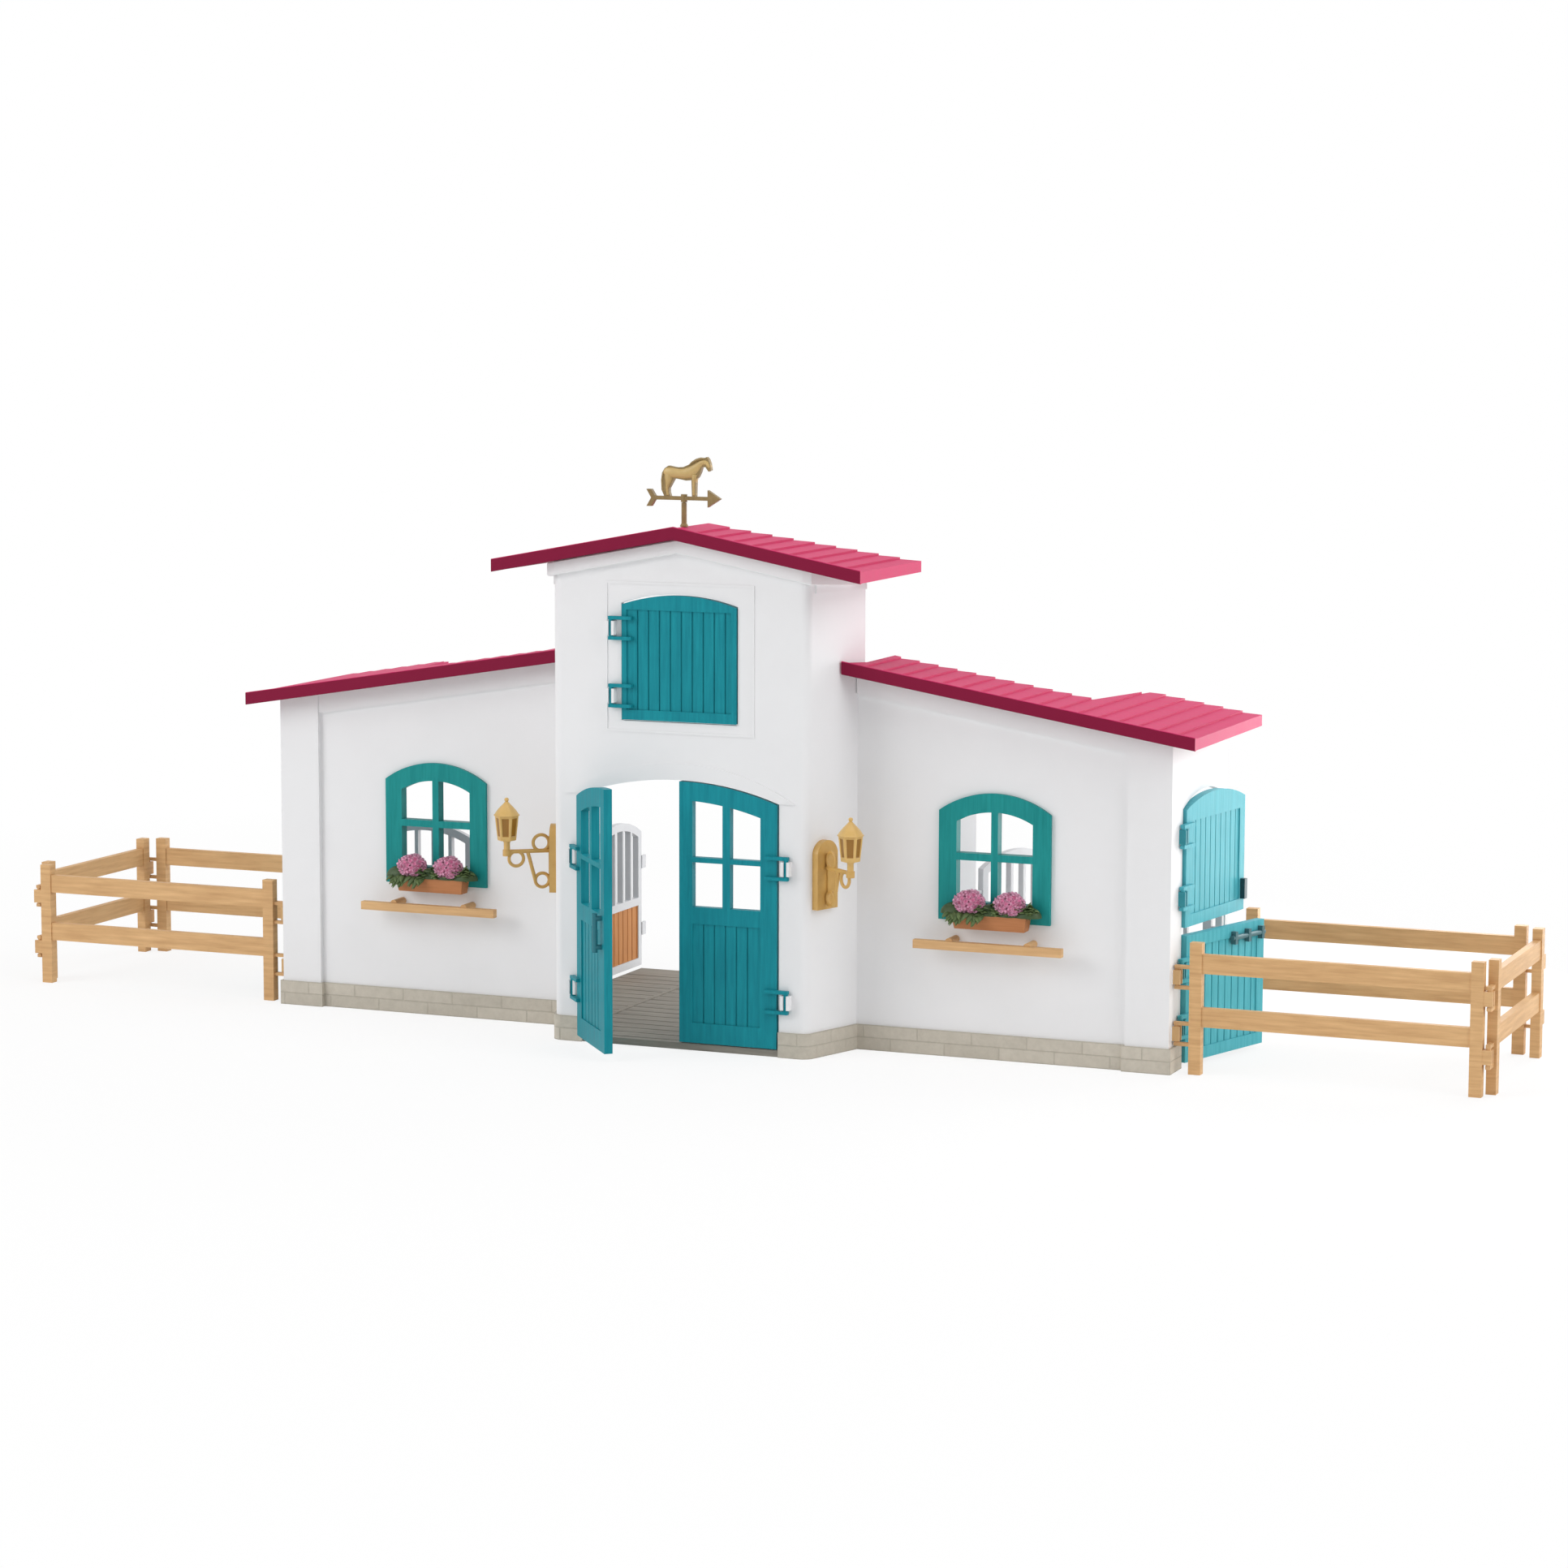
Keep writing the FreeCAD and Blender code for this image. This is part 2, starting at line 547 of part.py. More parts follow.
def add_clip(body, x, y, height, wall_x, wall_y):
    """A snap clip for an upright hinge bar at x, y, rooted in a wall at wall_x or wall_y."""
    low = height - clip_tall / 2
    high = height + clip_tall / 2
    if wall_x is None:
        out = -1 if size_of(y).value < size_of(wall_y).value else 1
        block = box_outline(x - dim.clip_half, wall_y - out * dim.root_in,
                            x + dim.clip_half, y + out * dim.clip_lip)
        mouth = box_outline(x - dim.clip_mouth / 2, y,
                            x + dim.clip_mouth / 2, y + out * (dim.clip_lip + dim.past))
    else:
        out = -1 if size_of(x).value < size_of(wall_x).value else 1
        block = box_outline(wall_x - out * dim.root_in, y - dim.clip_half,
                            x + out * dim.clip_lip, y + dim.clip_half)
        mouth = box_outline(x, y - dim.clip_mouth / 2,
                            x + out * (dim.clip_lip + dim.past), y + dim.clip_mouth / 2)
    pad(body, "XY", [block], low, high)
    cut(body, "XY", [(x, y, bore)], low, high)
    cut(body, "XY", [mouth], low, high)


def add_loop(body, toward, height, reach, back):
    """A hinge loop round the body's upright axis: a bar between two arms that reach the leaf."""
    low = height - dim.loop_tall / 2
    high = height + dim.loop_tall / 2
    front = -dim.pin_radius
    arm = box_outline(-toward * dim.pin_radius, front, toward * reach, back)
    pad(body, "XY", [arm], low, low + dim.loop_arm)
    pad(body, "XY", [arm], high - dim.loop_arm, high)
    pad(body, "XY", [(0, 0, dim.pin_radius)], low, high)


# Building

def tower_corner(x, y, radius, flip, hollow):
    """The rounded corner between the tower's front and a side, from the front towards the back."""
    run = radius / (slant + splay)
    start = (flip * (x - run), y)
    end = (flip * (x + run * splay / slant), y + run / slant)
    if flip > 0:
        return [(*start, radius, hollow), end]
    return [(*end, radius, hollow), start]


def make_tower_wall():
    body = new_body("tower_wall")
    inner_front = -dim.tower_proud + dim.wall_thick
    inner_corner = tower_side(inner_front) - slant * dim.wall_thick
    inner_round = dim.tower_round - dim.wall_thick
    back_out = tower_side(dim.tower_back)
    back_in = back_out - slant * dim.wall_thick
    front = -dim.tower_proud
    outer_left = tower_corner(dim.tower_front_half, front, dim.tower_round, -1, 1)
    outer_right = tower_corner(dim.tower_front_half, front, dim.tower_round, 1, 1)
    inner_right = tower_corner(inner_corner, inner_front, inner_round, 1, -1)
    inner_left = tower_corner(inner_corner, inner_front, inner_round, -1, -1)
    plan = [(-back_out, dim.tower_back), *outer_left, *outer_right, (back_out, dim.tower_back),
            (back_in, dim.tower_back)]
    plan += [(*inner_right[1], inner_round, -1), inner_right[0][:2]]
    plan += [(*inner_left[1], inner_round, -1), inner_left[0][:2]]
    plan += [(-back_in, dim.tower_back)]
    pad(body, "XY", [plan], 0, dim.ridge_top)
    eave = tower_underside(dim.tower_root_half)
    for flip in (-1, 1):
        start = front + dim.tower_round
        near = tower_side(start)
        strip = [(flip * near, start), (flip * (near + dim.cornice_proud), start),
                 (flip * (back_out + dim.cornice_proud), dim.tower_back), (flip * back_out, dim.tower_back)]
        pad(body, "XY", [strip], eave - dim.cornice_tall, dim.ridge_top)
    wide = dim.tower_eave_half
    gable = [(0, tower_underside(0)), (wide, tower_underside(wide)), (wide, dim.ridge_top + dim.past),
             (-wide, dim.ridge_top + dim.past), (-wide, tower_underside(wide))]
    cut(body, "XZ", [gable], front - dim.past, dim.tower_back + dim.past)
    crown = dim.barn_shoulder + dim.leaf_gap
    outer_half = barn_opening + dim.arch_trim
    trim_radius = arch_radius(outer_half, dim.barn_rise + dim.arch_trim)
    arch = [(outer_half, crown, trim_radius), (-outer_half, crown),
            (-barn_opening, crown, arch_radius(barn_opening, dim.barn_rise), -1), (barn_opening, crown)]
    pad(body, "XZ", [arch], front - dim.arch_trim_proud, front + dim.root_in)
    doorway = arched_outline(barn_opening, -dim.past, crown, dim.barn_rise)
    cut(body, "XZ", [doorway], front - dim.past, inner_front + dim.past)
    frame_in = dim.hatch_half + dim.hatch_frame_lap
    frame_out = frame_in + dim.hatch_frame_wide
    low = dim.hatch_bottom - dim.hatch_frame_rise
    high = dim.hatch_shoulder + dim.hatch_rise + dim.hatch_frame_rise
    rim = dim.hatch_frame_wide
    frame = [box_outline(-frame_out, low - rim, frame_out, high + rim),
             box_outline(-frame_in, low, frame_in, high)]
    pad(body, "XZ", frame, front - dim.hatch_frame_proud, front + dim.root_in)
    hatchway = arched_outline(dim.hatch_half + dim.leaf_gap, dim.hatch_bottom - dim.leaf_gap,
                              dim.hatch_shoulder + dim.leaf_gap, dim.hatch_rise)
    cut(body, "XZ", [hatchway], front - dim.past, inner_front + dim.past)
    for height in (dim.barn_low_loop, dim.barn_high_loop):
        add_clip(body, -barn_hinge_x, barn_hinge_y, height, None, front)
        add_clip(body, barn_hinge_x, barn_hinge_y, height, None, front)
    for height in (dim.hatch_low_loop, dim.hatch_high_loop):
        add_clip(body, hatch_hinge_x, barn_hinge_y, height, None, front)


def make_tower_plinth(side, flip):
    body = new_body(f"{side}_tower_plinth")
    front = -dim.tower_proud
    outer_front = front - dim.plinth_proud
    outer_corner = dim.tower_front_half - splay * dim.plinth_proud + slant * dim.plinth_proud
    stop = dim.field_back - dim.plinth_proud
    jamb = barn_opening
    outer = tower_corner(outer_corner, outer_front, dim.tower_round + dim.plinth_proud, 1, 1)
    inner = tower_corner(dim.tower_front_half, front, dim.tower_round, 1, -1)
    outline = [(jamb, outer_front), *outer, (tower_side(stop) + slant * dim.plinth_proud, stop),
               (tower_side(stop), stop), (*inner[1], dim.tower_round, -1), inner[0][:2], (jamb, front)]
    pad(body, "XY", [[(flip * corner[0], *corner[1:]) for corner in outline]], 0, dim.plinth_tall)


def make_floor_plate():
    body = new_body("floor_plate")
    front = -dim.tower_proud + dim.wall_thick + dim.seat_gap
    near = tower_side(front) - slant * (dim.wall_thick + dim.seat_gap) - dim.tower_round / 2
    far = partition_end - slant * (dim.wall_thick + dim.seat_gap)
    sill = barn_opening - dim.seat_gap
    outline = [(-sill, -dim.tower_proud), (sill, -dim.tower_proud), (sill, front), (near, front),
               (far, dim.end_deep), (far, dim.floor_back), (-far, dim.floor_back), (-far, dim.end_deep),
               (-near, front), (-sill, front)]
    pad(body, "XY", [outline], 0, dim.floor_thick)
    groove_start = front + dim.floor_groove
    sketch_loop = box_outline(groove_start, dim.floor_thick - dim.floor_groove_deep,
                              groove_start + dim.floor_groove, dim.floor_thick + dim.past)
    groove = cut(body, "YZ", [sketch_loop], -far - dim.past, far + dim.past)
    repeat(body, groove, dim.floor_plank, dim.floor_boards)
    for flip in (-1, 1):
        curb = flip * dim.curb_place
        strip = box_outline(curb, 0, curb + flip * dim.curb_wide, dim.floor_back)
        pad(body, "XY", [strip], dim.floor_thick - dim.floor_groove_deep, dim.floor_thick + dim.root_in)


def trim_under_wing_roof(body, flip):
    inner = dim.tower_front_half
    outer = dim.wing_roof_outer
    top = dim.wing_inner_top + dim.past
    above = [(flip * inner, wing_underside(inner)), (flip * outer, wing_underside(outer)),
             (flip * outer, top), (flip * inner, top)]
    cut(body, "XZ", [above], -dim.past, dim.end_deep + dim.past)


def make_wing_wall(side, flip):
    body = new_body(f"{side}_wing_wall")
    front = dim.field_back
    back = dim.field_back + dim.wall_thick
    outer = dim.facade_half - dim.pilaster_wide
    plan = [(flip * tower_side(front), front), (flip * outer, front), (flip * outer, back),
            (flip * tower_side(back), back)]
    pad(body, "XY", [plan], 0, dim.wing_inner_top)
    border_start = tower_side(front)
    border_top = wing_underside(border_start)
    outer_top = wing_underside(outer)
    tall = dim.border_tall
    border = [(flip * border_start, border_top - tall), (flip * outer, outer_top - tall),
              (flip * outer, outer_top), (flip * border_start, border_top)]
    pad(body, "XZ", [border], front - dim.border_proud, front + dim.root_in)
    trim_under_wing_roof(body, flip)
    half = dim.window_half - dim.window_lap + dim.fit_gap
    hole = arched_outline(half, dim.window_bottom + dim.window_lap - dim.fit_gap, dim.window_shoulder,
                          window_plug_rise(dim.fit_gap), flip * dim.window_place)
    cut(body, "XZ", [hole], front - dim.past, back + dim.past)


def window_plug_rise(clearance):
    """Rise of the arch that runs a lap inside the window frame's edge."""
    radius = arch_radius(dim.window_half, dim.window_rise) - dim.window_lap + clearance
    half = dim.window_half - dim.window_lap + clearance
    return arch_drop(radius, half)


def make_end_wall(side, flip):
    body = new_body(f"{side}_end_wall")
    outer = dim.facade_half
    inner = dim.facade_half - dim.wall_thick
    plan = [(flip * (outer - dim.pilaster_wide), 0), (flip * outer, 0), (flip * outer, dim.end_deep),
            (flip * inner, dim.end_deep), (flip * inner, dim.pilaster_deep),
            (flip * (outer - dim.pilaster_wide), dim.pilaster_deep)]
    pad(body, "XY", [plan], 0, dim.wing_inner_top)
    trim_under_wing_roof(body, flip)
    middle = (stable_front_jamb + stable_back_jamb) / 2
    half = (stable_back_jamb - stable_front_jamb) / 2
    doorway = arched_outline(half, -dim.past, dim.stable_shoulder + dim.leaf_gap, dim.stable_rise, middle)
    low = flip * (inner + outer) / 2 - dim.wall_thick / 2 - dim.past
    cut(body, "YZ", [doorway], low, low + dim.wall_thick + 2 * dim.past)
    for height in (dim.stable_loop_a, dim.stable_loop_b, dim.stable_loop_c, dim.stable_loop_d):
        add_clip(body, flip * stable_hinge_x, dim.stable_hinge_back, height, flip * outer, None)
    for height in (dim.fence_low_loop, dim.fence_high_loop):
        add_clip(body, flip * fence_hinge_x, dim.fence_hinge_back, height, flip * outer, None)
    for height in (dim.gate_low_loop, dim.gate_high_loop):
        add_clip(body, flip * gate_outer_x, gate_y, height, None, dim.end_deep)


def make_wing_plinth(side, flip):
    body = new_body(f"{side}_wing_plinth")
    out = dim.plinth_proud
    field = dim.field_back
    inner = dim.facade_half - dim.pilaster_wide
    outer = dim.facade_half
    start = tower_side(field)
    end = stable_front_jamb - dim.leaf_gap
    outline = [(start, field - out), (inner - out, field - out), (inner - out, -out), (outer + out, -out),
               (outer + out, end), (outer, end), (outer, 0), (inner, 0), (inner, field), (start, field)]
    pad(body, "XY", [[(flip * x, y) for x, y in outline]], 0, dim.plinth_tall)


def make_partition(side, flip):
    body = new_body(f"{side}_partition")
    start = dim.tower_back
    thick = slant * dim.wall_thick
    plan = [(tower_side(start) - thick, start), (tower_side(start), start), (partition_end, dim.end_deep),
            (partition_end - thick, dim.end_deep)]
    pad(body, "XY", [[(flip * x, y) for x, y in plan]], 0, dim.wing_inner_top)
    trim_under_wing_roof(body, flip)
    top = dim.wing_inner_top + dim.past
    behind = dim.end_deep + dim.past
    fall = [(dim.partition_bend, wing_underside(partition_end)), (behind, dim.partition_drop),
            (behind, top), (dim.partition_bend, top)]
    reach = 2 * partition_end
    cut(body, "YZ", [fall], -reach, reach)
    for height in (dim.gate_low_loop, dim.gate_high_loop):
        add_clip(body, flip * gate_inner_x, gate_y, height, None, dim.end_deep)


# Roofs

def courses(start_x, start_z, end_x, end_z, count, flip):
    """Saw-toothed top line of overlapping courses, from the high end of a slope to its low end."""
    whole = int(count.value)
    line = [(flip * start_x, start_z)]
    for course in range(1, whole + 1):
        share = course / count
        x = start_x + (end_x - start_x) * share
        z = start_z + (end_z - start_z) * share
        line.append((flip * x, z))
        if course < whole:
            line.append((flip * x, z - dim.course_step))
    return line


def make_tower_roof():
    body = new_body("tower_roof")
    half = dim.tower_eave_half
    front = -dim.tower_proud - dim.tower_overhang
    right = courses(size_of(0), dim.ridge_top, half, dim.tower_eave_top, dim.tower_courses, 1)
    left = courses(size_of(0), dim.ridge_top, half, dim.tower_eave_top, dim.tower_courses, -1)
    section = right + [(half, tower_underside(half)), (0, tower_underside(0))]
    section += [(-half, tower_underside(half))] + left[:0:-1]
    pad(body, "XZ", [section], front, dim.tower_eave_back)
    behind = dim.tower_eave_back + dim.past
    notch = [(0, dim.ridge_back), (half, dim.tower_eave_back), (half, behind), (-half, behind),
             (-half, dim.tower_eave_back)]
    cut(body, "XY", [notch], tower_underside(half) - dim.past, dim.ridge_top + dim.past)
    cut(body, "XY", [(0, dim.vane_place, dim.vane_post_radius + dim.pin_gap)],
        tower_underside(0) - dim.past, dim.ridge_top + dim.past)


def make_wing_roof(side, flip):
    body = new_body(f"{side}_wing_roof")
    inner = dim.wing_roof_inner
    outer = dim.wing_roof_outer
    line = courses(inner, dim.wing_inner_top, outer, dim.wing_outer_top, dim.wing_courses, flip)
    section = line + [(flip * outer, wing_underside(outer)), (flip * inner, wing_underside(inner))]
    front = -dim.wing_overhang
    pad(body, "XZ", [section], front, dim.wing_back_far)
    low = wing_underside(outer) - dim.past
    high = dim.wing_inner_top + dim.past
    behind = dim.wing_back_far + dim.past
    ahead = front - dim.past
    wall_end = dim.tower_back + dim.roof_gap
    clear = slant * dim.roof_gap + dim.cornice_proud
    beside = [(inner - 2 * dim.past, ahead), (tower_side(ahead) + clear, ahead),
              (tower_side(wall_end) + clear, wall_end), (tower_side(wall_end) + clear, behind),
              (inner - 2 * dim.past, behind)]
    cut(body, "XY", [[(flip * x, y) for x, y in beside]], low, high)
    stepped = [(inner, dim.wing_back_near), (dim.wing_step_start, dim.wing_back_near),
               (dim.wing_step_end, dim.wing_back_far), (dim.wing_step_end, behind), (inner, behind)]
    cut(body, "XY", [[(flip * x, y) for x, y in stepped]], low, high)


# Windows and what hangs below them

def make_window(side, flip):
    body = new_body(f"{side}_window")
    middle = flip * dim.window_place
    front = window_front
    seat = dim.field_back
    outer_radius = arch_radius(dim.window_half, dim.window_rise)
    pane_radius = outer_radius - dim.window_border
    pane_crown = dim.window_shoulder + dim.window_rise - dim.window_border
    near = dim.window_mullion / 2
    far = dim.window_half - dim.window_border
    low = dim.window_bottom + dim.window_border
    cross_low = dim.window_cross - dim.window_transom / 2
    cross_high = dim.window_cross + dim.window_transom / 2
    panes = []
    for way in (-1, 1):
        panes.append(box_outline(middle + way * near, low, middle + way * far, cross_low))
        panes.append([(middle + way * near, cross_high), (middle + way * far, cross_high),
                      (middle + way * far, pane_crown - arch_drop(pane_radius, far), pane_radius),
                      (middle + way * near, pane_crown - arch_drop(pane_radius, near))])
    flange = arched_outline(dim.window_half, dim.window_bottom, dim.window_shoulder,
                            dim.window_rise, middle)
    plug = arched_outline(dim.window_half - dim.window_lap, dim.window_bottom + dim.window_lap,
                          dim.window_shoulder, window_plug_rise(size_of(0)), middle)
    pad(body, "XZ", [flange], front, seat)
    pad(body, "XZ", [plug], seat - dim.root_in, seat + dim.window_plug)
    for pane in panes:
        cut(body, "XZ", [pane], front - dim.past, seat + dim.window_plug + dim.past)


def make_flower_box(side, flip):
    body = new_body(f"{side}_flower_box")
    middle = flip * dim.window_place
    back = window_front
    rim = dim.box_bottom + dim.box_tall
    section = [(back, dim.box_bottom), (back, rim), (back - dim.box_deep, rim),
               (back - dim.box_deep + dim.box_slope, dim.box_bottom)]
    pad(body, "YZ", [section], middle - dim.box_half, middle + dim.box_half)
    for way in (-1, 1):
        end = middle + way * dim.box_half
        inside = end - way * dim.box_slope
        outside = end + way * dim.past
        below = dim.box_bottom - dim.past
        lean = [(inside, below), (outside, below), (outside, rim), (end, rim), (inside, dim.box_bottom)]
        cut(body, "XZ", [lean], back - dim.box_deep - dim.past, back + dim.past)
    soil = box_outline(middle - dim.box_half + dim.box_rim, back - dim.box_deep + dim.box_rim,
                       middle + dim.box_half - dim.box_rim, back - dim.box_rim)
    cut(body, "XY", [soil], rim - dim.box_recess, rim + dim.past)


def round_lump(name, x, y, z, half_x, half_y, half_z):
    lump = doc.addObject("Part::Ellipsoid", name)
    bind(lump, Radius1=half_z, Radius2=half_x, Radius3=half_y)
    bind(lump, Placement__Base__x=x, Placement__Base__y=y, Placement__Base__z=z)
    return lump


def make_flowers(side, flip):
    """Flower heads over clumps of leaves; the leaves are hollowed where a flower head sits."""
    middle = flip * dim.window_place
    depth = window_front - dim.box_deep / 2
    rim = dim.box_bottom + dim.box_tall
    heads = []
    sockets = []
    lift = rim + dim.bloom_rise
    y = depth - dim.bloom_forward
    gap = dim.bloom_gap
    for way in (-1, 1):
        x = middle + way * dim.bloom_place
        heads.append(round_lump(f"{side}_head", x, y, lift, dim.bloom_wide, dim.bloom_deep, dim.bloom_tall))
        sockets.append(round_lump(f"{side}_socket", x, y, lift, dim.bloom_wide + gap,
                                  dim.bloom_deep + gap, dim.bloom_tall + gap))
    blossoms = doc.addObject("Part::Compound", f"{side}_blossoms")
    blossoms.Label = f"{side}_blossoms"
    blossoms.Links = heads
    nodes.append(blossoms)
    clumps = []
    for place_in_row in (-2, -1, 0, 1, 2):
        clumps.append(round_lump(f"{side}_clump", middle + place_in_row * dim.plant_pitch, depth, rim,
                                 dim.plant_wide, dim.plant_deep, dim.plant_tall))
    mound = doc.addObject("Part::MultiFuse", f"{side}_mound")
    mound.Shapes = clumps
    above = doc.addObject("Part::Box", f"{side}_above")
    bind(above, Length=2 * dim.window_half, Width=4 * dim.plant_deep, Height=2 * dim.plant_tall)
    bind(above, Placement__Base__x=middle - dim.window_half, Placement__Base__z=rim,
         Placement__Base__y=window_front - 4 * dim.plant_deep)
    top = doc.addObject("Part::MultiCommon", f"{side}_top")
    top.Shapes = [mound, above]
    soil = doc.addObject("Part::Box", f"{side}_soil")
    inset = dim.box_rim + dim.fit_gap
    bind(soil, Length=2 * (dim.box_half - inset), Width=dim.box_deep - 2 * inset,
         Height=dim.box_recess + dim.root_in)
    bind(soil, Placement__Base__x=middle - dim.box_half + inset,
         Placement__Base__y=window_front - dim.box_deep + inset, Placement__Base__z=rim - dim.box_recess)
    bush = doc.addObject("Part::MultiFuse", f"{side}_bush")
    bush.Shapes = [top, soil]
    holes = doc.addObject("Part::MultiFuse", f"{side}_sockets")
    holes.Shapes = sockets
    leaves = doc.addObject("Part::Cut", f"{side}_leaves")
    leaves.Label = f"{side}_leaves"
    leaves.Base = bush
    leaves.Tool = holes
    nodes.append(leaves)


def make_tie_rail(side, flip):
    body = new_body(f"{side}_tie_rail")
    middle = flip * dim.window_place
    front = dim.field_back - dim.rail_stand
    back = front + dim.rail_deep
    low = dim.rail_height
    bar = box_outline(middle - dim.rail_half, low, middle + dim.rail_half, low + dim.rail_tall)
    pad(body, "XZ", [bar], front, back)
    lift = low + dim.rail_peg_lift
    pegs = [(middle + way * dim.rail_peg_place, lift, dim.rail_peg) for way in (-1, 1)]
    pad(body, "XZ", pegs, back - dim.rail_deep / 2, dim.field_back)


# Lamps

def lamp_spot(flip):
    return flip * tower_side(dim.lamp_back), dim.lamp_back


def lamp_angle(flip):
    """Direction of the wall's outward normal at a lamp, in degrees."""
    lean = angle_of(splay, 1)
    return -lean if flip > 0 else 180 + lean


def rod(name, x, z, radius, long, angle):
    """A round bar in the arm's plane, from x, z at an angle above the horizontal."""
    bar = doc.addObject("Part::Cylinder", name)
    bar.Placement = Placement(Vector(0, 0, 0), Rotation(Vector(0, 1, 0), 1))
    bind(bar, Radius=radius, Height=long)
    bind(bar, Placement__Base__x=x, Placement__Base__z=z, Placement__Rotation__Angle=90 - size_of(angle))
    return bar


def scroll(name, x, z, radius):
    ring = doc.addObject("Part::Torus", name)
    ring.Placement = Placement(Vector(0, 0, 0), Rotation(Vector(1, 0, 0), 90))
    bind(ring, Radius1=radius, Radius2=dim.lamp_scroll)
    bind(ring, Placement__Base__x=x, Placement__Base__z=z)
    return ring


def make_lamp(side, flip):
    x, y = lamp_spot(flip)
    plate = doc.addObject("PartDesign::Body", f"{side}_lamp_plate")
    shoulder = dim.lamp_bottom + dim.lamp_plate_tall - dim.lamp_plate_arch
    shield = arched_outline(dim.lamp_plate_half, dim.lamp_bottom, shoulder, dim.lamp_plate_arch)
    pad(plate, "YZ", [shield], 0, dim.lamp_plate_thick)
    ridge = box_outline(-dim.lamp_rod, dim.lamp_bottom + 2 * dim.lamp_rod, dim.lamp_rod, shoulder)
    pad(plate, "YZ", [ridge], dim.lamp_plate_thick - dim.root_in, dim.lamp_plate_thick + dim.lamp_rod)
    face = dim.lamp_plate_thick + dim.lamp_rod
    arm_z = dim.lamp_bottom + dim.lamp_arm_lift
    top_x = face + dim.lamp_ring_top
    middle_x = dim.lamp_arm - dim.lamp_rod - dim.lamp_ring_middle
    low_x = face + dim.lamp_ring_low
    low_z = dim.lamp_bottom + dim.lamp_ring_low + 2 * dim.lamp_rod
    strut_run = middle_x - dim.lamp_ring_middle - 2 * dim.lamp_rod - low_x - dim.lamp_ring_low
    strut_rise = arm_z - low_z
    strut_angle = angle_of(strut_rise, strut_run)
    strut_long = root(strut_run * strut_run + strut_rise * strut_rise)
    post = doc.addObject("Part::Cylinder", f"{side}_arm_post")
    bind(post, Radius=2 * dim.lamp_rod, Height=3 * dim.lamp_rod)
    bind(post, Placement__Base__x=dim.lamp_arm, Placement__Base__z=arm_z - 2 * dim.lamp_rod)
    strut_x = low_x + dim.lamp_ring_low
    pieces = [rod(f"{side}_arm_bar", face, arm_z, dim.lamp_rod, dim.lamp_arm - face, 0),
              scroll(f"{side}_top_ring", top_x, arm_z + dim.lamp_ring_top, dim.lamp_ring_top),
              scroll(f"{side}_middle_ring", middle_x, arm_z - dim.lamp_ring_middle, dim.lamp_ring_middle),
              scroll(f"{side}_low_ring", low_x, low_z, dim.lamp_ring_low),
              rod(f"{side}_strut", strut_x, low_z, dim.lamp_strut, strut_long, strut_angle), post]
    arm = doc.addObject("Part::MultiFuse", f"{side}_lamp_arm")
    arm.Shapes = pieces
    arm.Refine = False
    place(arm, 0, 0, 0, -flip * dim.lamp_turn)
    bracket = fused(f"{side}_lamp_bracket", [plate, arm])
    place(bracket, x, y, 0, lamp_angle(flip))
    lantern = new_body(f"{side}_lantern")
    base = arm_z + dim.lamp_rod
    glass = base + dim.lantern_foot
    eave = glass + dim.lantern_tall
    tip = eave + dim.lantern_cap
    brim = dim.lantern_high + dim.lantern_eave
    profile = [(0, base), (2 * dim.lamp_rod, base), (dim.lamp_rod, base + dim.lamp_rod),
               (2 * dim.lamp_rod, glass - dim.lamp_rod), (dim.lantern_low, glass - dim.lamp_rod),
               (dim.lantern_low, glass), (dim.lantern_high, eave), (brim, eave),
               (brim, eave + dim.lantern_eave, dim.lantern_cap), (dim.lantern_finial, tip),
               (dim.lantern_finial, tip + dim.lantern_finial), (0, tip + 2 * dim.lantern_finial)]
    revolve(lantern, profile)
    heading = lamp_angle(flip) - flip * dim.lamp_turn
    place(lantern, x + dim.lamp_arm * cosine(size_of(heading)), y + dim.lamp_arm * sine(size_of(heading)))


# Weather vane

def make_vane_post():
    body = new_body("vane_post")
    bottom = tower_underside(0)
    top = dim.ridge_top + dim.vane_post_tall
    foot = dim.ridge_top
    thin = dim.vane_post_radius
    pin = dim.vane_pivot
    end = top + dim.vane_pivot_tall
    profile = [(0, bottom), (thin, bottom), (thin, foot), (dim.vane_foot, foot),
               (dim.vane_foot, foot + dim.vane_foot_tall / 3), (thin, foot + dim.vane_foot_tall),
               (thin, top), (pin, top), (pin, end), (0, end)]
    revolve(body, profile)
    place(body, 0, dim.vane_place)


# Horse figure, as shares of its length and height: standing, tail hanging, head to the arrow's point.
horse_outline = [
    (0.07, 0.00), (0.01, 0.17), (0.00, 0.41), (0.02, 0.59), (0.07, 0.70), (0.15, 0.77), (0.31, 0.73),
    (0.44, 0.74), (0.55, 0.80), (0.63, 0.89), (0.73, 0.96), (0.87, 0.97), (0.91, 1.00), (0.95, 0.94),
    (0.98, 0.84), (1.00, 0.68), (0.95, 0.64), (0.89, 0.75), (0.82, 0.75), (0.79, 0.62), (0.75, 0.51),
    (0.70, 0.44), (0.69, 0.00), (0.62, 0.00), (0.61, 0.42), (0.50, 0.41), (0.38, 0.44), (0.27, 0.46),
    (0.22, 0.35), (0.16, 0.21), (0.16, 0.12), (0.19, 0.00),
]


